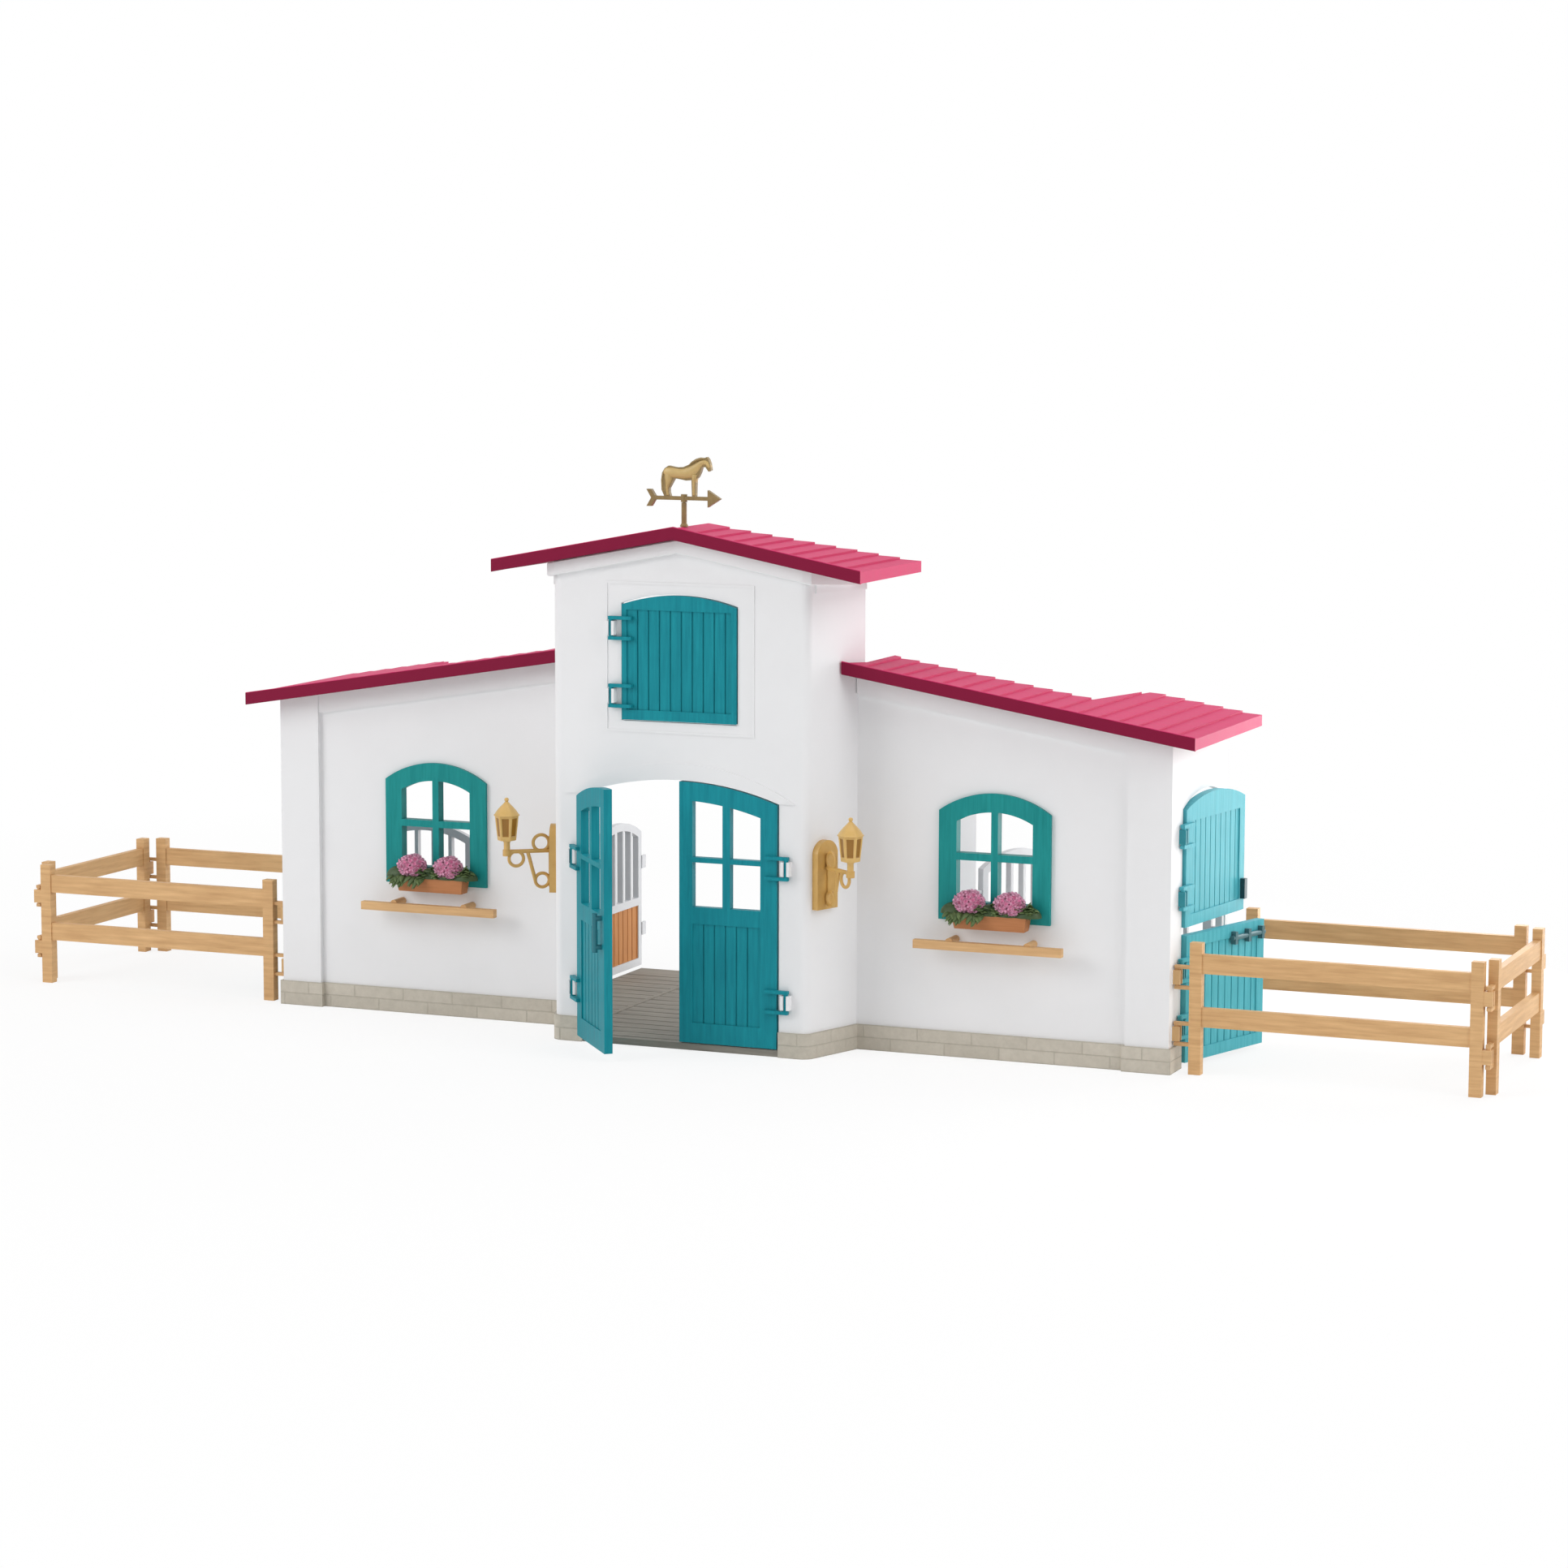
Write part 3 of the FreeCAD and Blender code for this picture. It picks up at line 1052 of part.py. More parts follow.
def make_weather_vane():
    body = new_body("weather_vane")
    base = dim.ridge_top + dim.vane_post_tall + dim.vane_gap
    bar_low = base + dim.arrow_hub_tall / 2 - dim.arrow_bar
    bar_high = bar_low + 2 * dim.arrow_bar
    centre = bar_low + dim.arrow_bar
    neck = dim.arrow_half - dim.arrow_head
    tail = dim.arrow_head_half
    fork = -neck - tail
    quill = -neck - tail / 2
    arrow = [(quill, bar_low), (neck, bar_low), (neck, centre - tail), (dim.arrow_half, centre),
             (neck, centre + tail), (neck, bar_high), (quill, bar_high), (fork, centre + tail),
             (-dim.arrow_half, centre + tail), (fork, centre), (-dim.arrow_half, centre - tail),
             (fork, centre - tail)]
    half = dim.vane_plate / 2
    pad(body, "XZ", [arrow], -half, half)
    figure = [(dim.horse_forward + (along - 0.5) * dim.horse_long,
               bar_high - dim.root_in + up * dim.horse_tall) for along, up in horse_outline]
    pad(body, "XZ", [figure], -half, half)
    pad(body, "XY", [(0, 0, dim.arrow_hub)], base, base + dim.arrow_hub_tall)
    cut(body, "XY", [(0, 0, dim.vane_pivot + dim.pin_gap)], base - dim.past,
        dim.ridge_top + dim.vane_post_tall + dim.vane_pivot_tall + dim.vane_gap)
    place(body, 0, dim.vane_place)


# Door leaves, each made round its own hinge bar: x along the leaf, y inwards

def make_leaf(label, toward, wide, bottom, hinge_top, free_top, radius):
    body = new_body(label)
    near = toward * dim.hinge_reach
    far = toward * (dim.hinge_reach + wide)
    top = (far, free_top) if radius is None else (far, free_top, radius)
    pad(body, "XZ", [[(near, bottom), (far, bottom), top, (near, hinge_top)]], dim.leaf_set,
        dim.leaf_set + dim.leaf_thick)
    return body


def joints_in(span):
    """Number of joints between the boards that fill a span."""
    boards = span / dim.board_pitch - dim.board_rest
    return Size(f"floor({boards.formula})", math.floor(boards.value))


def add_boards(body, toward, wide, hinge_stile, stile, low, high):
    """A boarded panel, sunk on both faces of a leaf, with joints between its boards outside."""
    near = toward * (dim.hinge_reach + hinge_stile)
    far = toward * (dim.hinge_reach + wide - stile)
    front = dim.leaf_set
    back = dim.leaf_set + dim.leaf_thick
    panel = box_outline(near, low, far, high)
    cut(body, "XZ", [panel], front - dim.past, front + dim.panel_deep)
    cut(body, "XZ", [panel], back - dim.panel_deep, back + dim.past)
    start = near if toward > 0 else far
    first = start + dim.board_pitch - dim.board_groove / 2
    joint = box_outline(first, low, first + dim.board_groove, high)
    groove = cut(body, "XZ", [joint], front, front + dim.panel_deep + dim.board_groove_deep)
    repeat(body, groove, dim.board_pitch, joints_in(wide - hinge_stile - stile))


def add_leaf_loops(body, toward, heights):
    for height in heights:
        add_loop(body, toward, height, dim.hinge_reach + dim.strap_long, dim.leaf_set + dim.root_in)


def make_barn_door(side, flip):
    toward = -flip
    radius = arch_radius(dim.barn_leaf, dim.barn_rise)
    crown = dim.barn_shoulder + dim.barn_rise
    body = make_leaf(f"{side}_barn_door", toward, dim.barn_leaf, dim.barn_bottom, dim.barn_shoulder,
                     crown, radius)
    add_boards(body, toward, dim.barn_leaf, dim.barn_hinge_stile, dim.barn_stile,
               dim.barn_bottom + dim.barn_bottom_rail, dim.barn_panel_top)
    pane_radius = radius - dim.barn_top_rail
    free = dim.hinge_reach + dim.barn_leaf
    hinge_pane = dim.hinge_reach + dim.barn_hinge_stile
    free_pane = free - dim.barn_stile
    middle = (hinge_pane + free_pane) / 2
    spans = [(hinge_pane, middle - dim.barn_bar / 2), (middle + dim.barn_bar / 2, free_pane)]
    front = dim.leaf_set - dim.past
    back = dim.leaf_set + dim.leaf_thick + dim.past
    low = dim.barn_pane_middle - dim.barn_cross / 2
    high = dim.barn_pane_middle + dim.barn_cross / 2
    for near, far in spans:
        top = crown - dim.barn_top_rail
        pane_tops = [top - arch_drop(pane_radius, free - edge) for edge in (near, far)]
        cut(body, "XZ", [box_outline(toward * near, dim.barn_pane_bottom, toward * far, low)], front, back)
        upper = [(toward * near, high), (toward * far, high), (toward * far, pane_tops[1], pane_radius),
                 (toward * near, pane_tops[0])]
        cut(body, "XZ", [upper], front, back)
    add_leaf_loops(body, toward, (dim.barn_low_loop, dim.barn_high_loop))
    open_by = -dim.left_barn_open if flip < 0 else size_of(0)
    place(body, flip * barn_hinge_x, barn_hinge_y, 0, open_by)


def make_barn_handle():
    """A pull on the left barn door, beside its free edge."""
    x = dim.hinge_reach + dim.barn_leaf - dim.handle_inset
    y = dim.leaf_set - dim.handle_stand
    grip = doc.addObject("Part::Cylinder", "handle_grip")
    bind(grip, Radius=dim.handle_radius, Height=dim.handle_high - dim.handle_low)
    bind(grip, Placement__Base__x=x, Placement__Base__y=y, Placement__Base__z=dim.handle_low)
    pieces = [grip]
    inset = 2 * dim.handle_radius
    for number, height in enumerate((dim.handle_low + inset, dim.handle_high - inset)):
        leg = doc.addObject("Part::Cylinder", f"handle_leg_{number}")
        leg.Placement = Placement(Vector(0, 0, 0), Rotation(Vector(1, 0, 0), -90))
        bind(leg, Radius=dim.handle_radius, Height=dim.handle_stand)
        bind(leg, Placement__Base__x=x, Placement__Base__y=y, Placement__Base__z=height)
        pieces.append(leg)
    handle = fused("left_barn_handle", pieces)
    place(handle, -barn_hinge_x, barn_hinge_y, 0, -dim.left_barn_open)


def make_hay_hatch():
    wide = 2 * dim.hatch_half
    radius = arch_radius(dim.hatch_half, dim.hatch_rise)
    body = make_leaf("hay_hatch", 1, wide, dim.hatch_bottom, dim.hatch_shoulder, dim.hatch_shoulder, radius)
    add_boards(body, 1, wide, dim.hatch_stile, dim.hatch_stile, dim.hatch_bottom + dim.hatch_rail,
               dim.hatch_shoulder - dim.hatch_stile)
    add_leaf_loops(body, 1, (dim.hatch_low_loop, dim.hatch_high_loop))
    place(body, hatch_hinge_x, barn_hinge_y)


def stable_turn(flip, opened):
    return 90 - size_of(opened) if flip > 0 else size_of(opened) - 90


def make_stable_door(side, flip, level, opened):
    toward = flip
    upper = level == "upper"
    bottom = dim.stable_split + dim.stable_split_gap if upper else dim.stable_bottom
    top = dim.stable_shoulder if upper else dim.stable_split
    radius = arch_radius(dim.stable_leaf / 2, dim.stable_rise) if upper else None
    label = f"{side}_{level}_stable_door"
    body = make_leaf(label, toward, dim.stable_leaf, bottom, top, top, radius)
    add_boards(body, toward, dim.stable_leaf, dim.stable_stile, dim.stable_stile,
               bottom + dim.stable_stile, top - dim.stable_stile)
    heights = (dim.stable_loop_c, dim.stable_loop_d) if upper else (dim.stable_loop_a, dim.stable_loop_b)
    add_leaf_loops(body, toward, heights)
    place(body, flip * stable_hinge_x, dim.stable_hinge_back, 0, stable_turn(flip, opened))


def make_stable_catch(side, flip, opened):
    """The catch on an upper leaf, at the lower corner of its free edge."""
    body = new_body(f"{side}_upper_catch")
    far = leaf_far - dim.catch_wide / 2
    low = dim.stable_split + dim.stable_split_gap + dim.stable_stile
    plate = box_outline(flip * (far - dim.catch_wide), low, flip * far, low + dim.catch_tall)
    pad(body, "XZ", [plate], dim.leaf_set - dim.catch_deep, dim.leaf_set)
    place(body, flip * stable_hinge_x, dim.stable_hinge_back, 0, stable_turn(flip, opened))


def make_stable_bolt(side, flip, opened):
    """The bolt on a lower leaf: a round bar in two guides, with a knob between them."""
    label = f"{side}_lower_bolt"
    height = dim.stable_split - dim.bolt_drop
    out = dim.leaf_set - dim.guide_deep / 2
    far = leaf_far - dim.guide_wide
    near = far - dim.bolt_long
    bar = doc.addObject("Part::Cylinder", f"{side}_bolt_bar")
    bar.Placement = Placement(Vector(0, 0, 0), Rotation(Vector(0, 1, 0), 90))
    bind(bar, Radius=dim.bolt_radius, Height=dim.bolt_long)
    start = near if flip > 0 else -far
    bind(bar, Placement__Base__x=start, Placement__Base__y=out, Placement__Base__z=height)
    pieces = [bar]
    guides = (near + dim.guide_inset, (near + far) / 2, far - dim.guide_inset)
    for number, middle in enumerate(guides):
        guide = doc.addObject("Part::Box", f"{side}_bolt_guide_{number}")
        bind(guide, Length=dim.guide_wide, Width=dim.guide_deep, Height=dim.guide_tall)
        bind(guide, Placement__Base__x=flip * middle - dim.guide_wide / 2,
             Placement__Base__y=dim.leaf_set - dim.guide_deep, Placement__Base__z=height - dim.guide_tall / 2)
        pieces.append(guide)
    bolt = fused(label, pieces)
    place(bolt, flip * stable_hinge_x, dim.stable_hinge_back, 0, stable_turn(flip, opened))


# Fences, each made round its own hinge bar with the rails along x

def make_fence(label, spacing, x, y, turn):
    body = new_body(label)
    near = dim.fence_reach
    far = near + spacing
    deep = dim.fence_post_deep / 2
    for start in (near, far):
        pad(body, "XY", [box_outline(start, -deep, start + dim.fence_post, deep)], 0, dim.fence_tall)
    rail = dim.fence_rail_deep / 2
    inside = dim.fence_post - dim.root_in
    for low in (dim.fence_low_rail, dim.fence_high_rail):
        bar = box_outline(near + inside, low, far + dim.root_in, low + dim.fence_rail_tall)
        pad(body, "XZ", [bar], -rail, rail)
    for height in (dim.fence_low_loop, dim.fence_high_loop):
        add_loop(body, 1, height, near + dim.root_in, dim.pin_radius)
        end = far + dim.fence_post
        add_clip(body, end + dim.fence_clip_stand, size_of(0), height, end, None)
    place(body, x, y, 0, turn)


def make_paddock(side, flip):
    x = flip * fence_hinge_x
    y = dim.fence_hinge_back
    corner_x = x + flip * (fence_far_long + dim.fence_clip_stand)
    corner_y = y + fence_far_short + dim.fence_clip_stand
    outward = 0 if flip > 0 else 180
    make_fence(f"{side}_front_fence", dim.fence_long, x, y, outward)
    make_fence(f"{side}_side_fence", dim.fence_short, corner_x, y, 90)
    make_fence(f"{side}_back_fence", dim.fence_long, corner_x, corner_y, 180 - outward)


# Stall gates, each made round its own hinge bar with its width along x

def make_gate(label, x, turn, clips):
    body = new_body(label)
    near = dim.hinge_reach
    far = near + gate_wide
    half = dim.gate_thick / 2
    middle = (near + far) / 2
    frame = arched_outline(gate_wide / 2, dim.gate_bottom, dim.gate_shoulder, dim.gate_rise, middle)
    pad(body, "XZ", [frame], -half, half)
    boards = box_outline(near + dim.gate_border, dim.gate_bottom + dim.gate_border, far - dim.gate_border,
                         dim.gate_board_top)
    cut(body, "XZ", [boards], -half - dim.past, half + dim.past)
    slot_radius = arch_radius(gate_wide / 2, dim.gate_rise) - dim.gate_border
    crown = dim.gate_shoulder + dim.gate_rise - dim.gate_border
    low = dim.gate_board_top + dim.gate_rail
    inside = gate_wide / 2 - dim.gate_border
    pitch = (2 * inside + dim.gate_bar) / dim.gate_slots
    slots = []
    for number in range(int(dim.gate_slots.value)):
        start = number * pitch - inside
        end = start + pitch - dim.gate_bar
        slots.append([(middle + start, low), (middle + end, low),
                      (middle + end, crown - arch_drop(slot_radius, end), slot_radius),
                      (middle + start, crown - arch_drop(slot_radius, start))])
    cut(body, "XZ", slots, -half - dim.past, half + dim.past)
    for height in (dim.gate_low_loop, dim.gate_high_loop):
        add_loop(body, 1, height, near + dim.root_in, dim.pin_radius)
        if clips:
            add_clip(body, far + dim.gate_clip_stand, size_of(0), height, far, None)
    place(body, x, gate_y, 0, turn)
    filling = new_body(label + "_boards")
    gap = dim.gate_board_gap
    panel = box_outline(near + dim.gate_border + gap, dim.gate_bottom + dim.gate_border + gap,
                        far - dim.gate_border - gap, dim.gate_board_top - gap)
    thick = dim.gate_board_thick / 2
    pad(filling, "XZ", [panel], -thick, thick)
    joint_start = near + dim.gate_border + dim.board_pitch
    joint = box_outline(joint_start, dim.gate_bottom, joint_start + dim.board_groove, dim.gate_board_top)
    joints = joints_in(gate_wide - 2 * dim.gate_border)
    skin = thick - dim.board_groove_deep
    for low, high in ((-thick - dim.past, -skin), (skin, thick + dim.past)):
        repeat(filling, cut(filling, "XZ", [joint], low, high), dim.board_pitch, joints)
    place(filling, x, gate_y, 0, turn)


make_tower_wall()
make_floor_plate()
make_tower_roof()
make_vane_post()
make_weather_vane()
make_hay_hatch()
make_barn_handle()
for side, flip in sides.items():
    make_tower_plinth(side, flip)
    make_wing_wall(side, flip)
    make_end_wall(side, flip)
    make_wing_plinth(side, flip)
    make_partition(side, flip)
    make_wing_roof(side, flip)
    make_window(side, flip)
    make_flower_box(side, flip)
    make_flowers(side, flip)
    make_tie_rail(side, flip)
    make_lamp(side, flip)
    make_barn_door(side, flip)
    lower_open = dim.right_lower_open if flip > 0 else 0
    upper_open = dim.right_upper_open if flip > 0 else 0
    make_stable_door(side, flip, "lower", lower_open)
    make_stable_door(side, flip, "upper", upper_open)
    make_stable_bolt(side, flip, lower_open)
    make_stable_catch(side, flip, upper_open)
    make_paddock(side, flip)
make_gate("left_inner_gate", -gate_inner_x, 180 - dim.left_inner_open, True)
make_gate("right_inner_gate", gate_inner_x, dim.right_inner_open, True)
make_gate("left_outer_gate", -gate_outer_x, 0, False)
make_gate("right_outer_gate", gate_outer_x, 180, False)
doc.recompute()

faults = []
for item in doc.Objects:
    if "Invalid" in item.State or "Error" in item.State:
        faults.append(f"{item.Name} failed to build")
    elif item.TypeId == "PartDesign::Pocket" and item.BaseFeature.Shape.Volume <= item.Shape.Volume:
        faults.append(f"{item.Name} cuts nothing")
for node in nodes:
    if node.Shape.isNull() or not node.Shape.isValid() or not node.Shape.Solids:
        faults.append(f"{node.Label} has no sound solid")
if faults:
    raise RuntimeError("; ".join(faults))

os.makedirs("parts", exist_ok=True)
for node in nodes:
    node.Shape.exportStep(f"parts/{node.Label}.step")
print(len(nodes), "pieces written")
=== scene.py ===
import json
import math

import bmesh
import bpy
import numpy as np
from mathutils import Matrix, Vector

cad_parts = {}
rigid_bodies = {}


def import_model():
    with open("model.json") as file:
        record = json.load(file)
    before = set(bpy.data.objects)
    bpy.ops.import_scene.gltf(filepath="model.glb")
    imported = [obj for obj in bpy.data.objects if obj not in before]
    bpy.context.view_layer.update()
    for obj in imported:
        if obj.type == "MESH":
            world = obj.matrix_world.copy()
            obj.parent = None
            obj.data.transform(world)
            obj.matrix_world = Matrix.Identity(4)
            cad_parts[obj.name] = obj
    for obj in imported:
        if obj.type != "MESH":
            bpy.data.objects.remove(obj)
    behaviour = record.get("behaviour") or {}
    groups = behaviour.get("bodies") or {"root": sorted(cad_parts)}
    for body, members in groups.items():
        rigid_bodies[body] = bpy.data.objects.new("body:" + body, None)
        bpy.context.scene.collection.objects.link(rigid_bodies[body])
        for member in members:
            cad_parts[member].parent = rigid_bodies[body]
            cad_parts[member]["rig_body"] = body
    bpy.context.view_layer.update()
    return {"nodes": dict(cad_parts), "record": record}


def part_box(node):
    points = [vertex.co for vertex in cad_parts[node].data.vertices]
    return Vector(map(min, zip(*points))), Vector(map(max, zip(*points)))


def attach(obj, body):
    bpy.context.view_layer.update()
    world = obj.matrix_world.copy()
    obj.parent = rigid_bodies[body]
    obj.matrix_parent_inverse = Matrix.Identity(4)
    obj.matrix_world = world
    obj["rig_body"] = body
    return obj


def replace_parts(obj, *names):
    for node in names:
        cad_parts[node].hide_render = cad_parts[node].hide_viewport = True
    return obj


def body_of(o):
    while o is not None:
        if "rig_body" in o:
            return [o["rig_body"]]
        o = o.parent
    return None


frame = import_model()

nodes = frame["nodes"]
scene = bpy.context.scene
sides = ("left", "right")
white = (1.0, 1.0, 1.0, 1.0)
black = (0.0, 0.0, 0.0, 1.0)
millimetres = 1000.0  # in a metre
print("frame loaded:", len(nodes), "nodes")


# A node's lowest and highest corner at rest, in millimetres
def corners(node):
    return [np.array(corner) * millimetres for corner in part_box(node)]


# Shader arithmetic: a wire is an output socket, and each operator adds one maths node
class Wire:
    def __init__(self, board, socket):
        self.board = board
        self.socket = socket

    def math(self, operation, *others):
        return self.board.math(operation, self, *others)

    def __add__(self, other):
        return self.math("ADD", other)

    def __radd__(self, other):
        return self.math("ADD", other)

    def __sub__(self, other):
        return self.math("SUBTRACT", other)

    def __rsub__(self, other):
        return self.board.math("SUBTRACT", other, self)

    def __mul__(self, other):
        return self.math("MULTIPLY", other)

    def __rmul__(self, other):
        return self.math("MULTIPLY", other)

    def __truediv__(self, other):
        return self.math("DIVIDE", other)

    def __rtruediv__(self, other):
        return self.board.math("DIVIDE", other, self)

    def clamp(self):
        return self.math("MAXIMUM", 0.0).math("MINIMUM", 1.0)


# One node tree: every node comes from its add method
class Board:
    def __init__(self, tree):
        self.tree = tree

    def add(self, kind, settings, inputs, output=0):
        node = self.tree.nodes.new(kind)
        for key, value in settings.items():
            setattr(node, key, value)
        for key, value in inputs.items():
            if isinstance(value, Wire):
                self.tree.links.new(value.socket, node.inputs[key])
            else:
                node.inputs[key].default_value = value
        return node if output is None else Wire(self, node.outputs[output])

    def math(self, operation, *values):
        return self.add("ShaderNodeMath", {"operation": operation}, dict(enumerate(values)))

    # 1 for what the camera sees straight or mirrored, 0 for light on its way between surfaces
    def looked(self):
        rays = self.add("ShaderNodeLightPath", {}, {}, None)
        kinds = ("Is Camera Ray", "Is Glossy Ray", "Is Transmission Ray")
        straight, mirrored, through = (Wire(self, rays.outputs[kind]) for kind in kinds)
        return (straight + mirrored + through).clamp()


# One material: its principled shader and the object's own coordinates in millimetres
class Paint(Board):
    def __init__(self, name, tune):
        self.tune = tune
        self.material = bpy.data.materials.new(name)
        self.material.use_nodes = True
        super().__init__(self.material.node_tree)
        self.shader = self.tree.nodes["Principled BSDF"]
        self.shader.inputs["Roughness"].default_value = tune["rough"]
        self.shader.inputs["Coat Weight"].default_value = tune.get("coat", 0.0)
        self.shader.inputs["Specular IOR Level"].default_value = tune.get("shine", 0.4)
        coords = self.add("ShaderNodeTexCoord", {}, {}, "Object")
        scaled = {0: coords, "Scale": millimetres}
        self.place = self.add("ShaderNodeVectorMath", {"operation": "SCALE"}, scaled)
        self.x, self.y, self.z = self.split(self.place)

    def split(self, vector):
        node = self.add("ShaderNodeSeparateXYZ", {}, {0: vector}, None)
        return [Wire(self, node.outputs[axis]) for axis in "XYZ"]

    def stretched(self, factors):
        return self.add("ShaderNodeVectorMath", {"operation": "MULTIPLY"}, {0: self.place, 1: factors})

    def noise(self, place, scale, detail=3.0, rasp=0.55):
        values = {"Vector": place, "Scale": scale, "Detail": detail, "Roughness": rasp}
        return self.add("ShaderNodeTexNoise", {}, values)

    # A mix of two colours, each a tuple or a wire
    def between(self, share, low, high):
        first, second = ((*tone, 1.0) if isinstance(tone, tuple) else tone for tone in (low, high))
        return self.add("ShaderNodeMix", {"data_type": "RGBA"}, {"Factor": share, 6: first, 7: second}, 2)

    def link(self, wire, socket):
        self.tree.links.new(wire.socket, self.shader.inputs[socket])

    def colour(self, wire):
        self.link(wire, "Base Color")

    # Gloss that follows a noise, evenly about the tuned roughness
    def gloss(self, noise):
        self.link((noise - 0.5) * self.tune["spread"] + self.tune["rough"], "Roughness")

    def bump(self, height):
        values = {"Height": height, "Strength": self.tune["bump"], "Distance": self.tune["depth"]}
        self.link(self.add("ShaderNodeBump", {}, values), "Normal")

    # A cloudy noise, for slow changes of tone
    def cloud(self):
        return self.noise(self.place, self.tune["cloud"])

    # Fine moulded grain, in the gloss and in the surface
    def grained(self):
        grain = self.noise(self.place, self.tune["grain"], self.tune["detail"])
        self.gloss(grain)
        self.bump(grain)


# Moulded plastic: two close tones mixed by a soft noise, and a fine grain
def mouldedPaint(name, tune):
    paint = Paint(name, tune)
    paint.colour(paint.between(paint.cloud(), *tune["tones"]))
    paint.grained()
    return paint.material


# End wall look: moulded plastic, and its hinge clips, which stand out past the face, each row in its own tone
def endWallPaint(name, tune):
    paint = Paint(name, tune)
    tone = paint.between(paint.cloud(), *tune["tones"])
    face = corners("right_end_wall")[1][0] - tune["clipTall"]
    outside = ((paint.x.math("ABSOLUTE") - face) * tune["faceEdge"]).clamp()
    for start, end, clip in tune["clips"]:
        fromStart = ((paint.y - start) * tune["rowEdge"]).clamp()
        toEnd = ((end - paint.y) * tune["rowEdge"]).clamp()
        tone = paint.between(outside * (fromStart * toEnd), tone, clip)
    paint.colour(tone)
    paint.grained()
    return paint.material


# Wood look: noise drawn out along the boards, darkened into streaks
def woodPaint(name, tune):
    paint = Paint(name, tune)
    streak = paint.noise(paint.stretched(tune["along"]), tune["scale"], tune["detail"], tune["rasp"])
    cloud = paint.noise(paint.place, tune["cloud"], tune["cloudDetail"])
    share = (streak - 0.5) * tune["contrast"] + (cloud - 0.5) * tune["cloudShare"] + 0.5
    paint.colour(paint.between(share.clamp(), *tune["tones"]))
    paint.gloss(streak)
    paint.bump(streak)
    return paint.material


# Stone look: mottled blocks, each a little different, with sunk joints
def stonePaint(name, tune):
    paint = Paint(name, tune)
    flat = paint.add("ShaderNodeCombineXYZ", {}, {"X": paint.x + paint.y, "Y": paint.z})
    bricks = {"Vector": flat, "Scale": 1.0, "Brick Width": tune["wide"], "Row Height": tune["tall"],
              "Mortar Size": tune["joint"], "Mortar Smooth": tune["jointSoft"],
              "Color1": black, "Color2": white, "Mortar": black}
    laid = paint.add("ShaderNodeTexBrick", {}, bricks, None)
    block, joint = (Wire(paint, laid.outputs[output]) for output in ("Color", "Fac"))
    mottle = paint.noise(paint.place, tune["mottle"], tune["detail"], tune["rasp"])
    share = mottle * tune["mottleShare"] + block * tune["blockShare"] - joint * tune["jointShare"]
    paint.colour(paint.between(share.clamp(), *tune["tones"]))
    paint.bump(mottle * tune["relief"] - joint)
    return paint.material


# Roof look: painted light by facing: the tops and ends are painted paler and the fascia darker with painted
# shade, streaked down the slope
def roofPaint(name, tune):
    paint = Paint(name, tune)
    facing = paint.add("ShaderNodeNewGeometry", {}, {}, "Normal")
    sideways, _, upward = paint.split(facing)
    # painted light: faces turned up or to the ends take the paler top tones, and front faces take the fascia's
    # painted shade
    litShare = upward * tune["upward"] + sideways.math("ABSOLUTE") * tune["sideways"] - tune["start"]
    streak = paint.noise(paint.stretched(tune["along"]), tune["scale"], tune["detail"], tune["rasp"])
    tops = paint.between(streak, *tune["tones"])
    paint.colour(paint.between(litShare.clamp(), tune["fascia"], tops))
    paint.gloss(streak)
    paint.bump(streak)
    return paint.material


# Lantern look: amber panes between gilt bars, told apart by the angle round the lantern's middle
def lanternPaint(name, node, tune):
    low, high = (Vector(corner) for corner in corners(node))
    middle = (low + high) / 2
    paint = Paint(name, tune)
    angle = (paint.y - middle.y).math("ARCTAN2", paint.x - middle.x)
    across = (angle * (tune["panes"] / 2) + tune["turn"]).math("COSINE").math("ABSOLUTE")
    sill = low.z + tune["foot"]
    aboveSill = ((paint.z - sill) * tune["sillEdge"]).clamp()
    belowHead = ((sill + tune["tall"] - paint.z) * tune["sillEdge"]).clamp()
    pane = ((across - tune["bar"]) * tune["barEdge"]).clamp() * (aboveSill * belowHead)
    paint.colour(paint.between(pane, paint.between(paint.cloud(), *tune["tones"]), tune["amber"]))
    paint.grained()
    return paint.material


# Toned look for flowers, leaves and the vane: the tone attribute runs from the first tone to the second
def tonedPaint(name, tune):
    paint = Paint(name, tune)
    tone = paint.add("ShaderNodeAttribute", {"attribute_name": "tone"}, {}, "Fac")
    share = tone * tune["toneShare"] + (paint.cloud() - 0.5) * tune["vary"] + tune["toneStart"]
    paint.colour(paint.between(share.clamp(), *tune["tones"]))
    paint.grained()
    return paint.material


# What the plastics, the woods and the toned looks share; depths are in metres, noise scales per millimetre
plasticTune = {"detail": 2.0, "spread": 0.12, "depth": 0.0002}
woodTune = {"detail": 5.0, "rasp": 0.62, "cloudDetail": 2.0, "cloudShare": 0.4, "spread": 0.16,
            "depth": 0.0004}
tonedTune = {**plasticTune, "toneShare": 0.8, "toneStart": 0.1}

wallTune = {**plasticTune, "tones": ((0.79, 0.79, 0.80), (0.84, 0.84, 0.85)), "rough": 0.55, "cloud": 0.02,
            "grain": 0.9, "bump": 0.05, "shine": 0.3}
endTune = {**wallTune, "clipTall": 4.3, "faceEdge": 4.0, "rowEdge": 2.0,
           "clips": ((12.0, 20.0, (0.03, 0.26, 0.31)), (4.5, 11.8, (0.62, 0.39, 0.18)))}
# the fascia tone is painted shade, darker than the tops
roofTune = {"tones": ((0.54, 0.017, 0.108), (0.66, 0.036, 0.152)), "fascia": (0.215, 0.005, 0.037),
            "upward": 1.4, "sideways": 1.2, "start": 0.35, "along": (0.08, 0.5, 0.5), "scale": 0.3,
            "detail": 4.0, "rasp": 0.6, "rough": 0.5, "spread": 0.16, "bump": 0.15, "depth": 0.0003,
            "shine": 0.14}
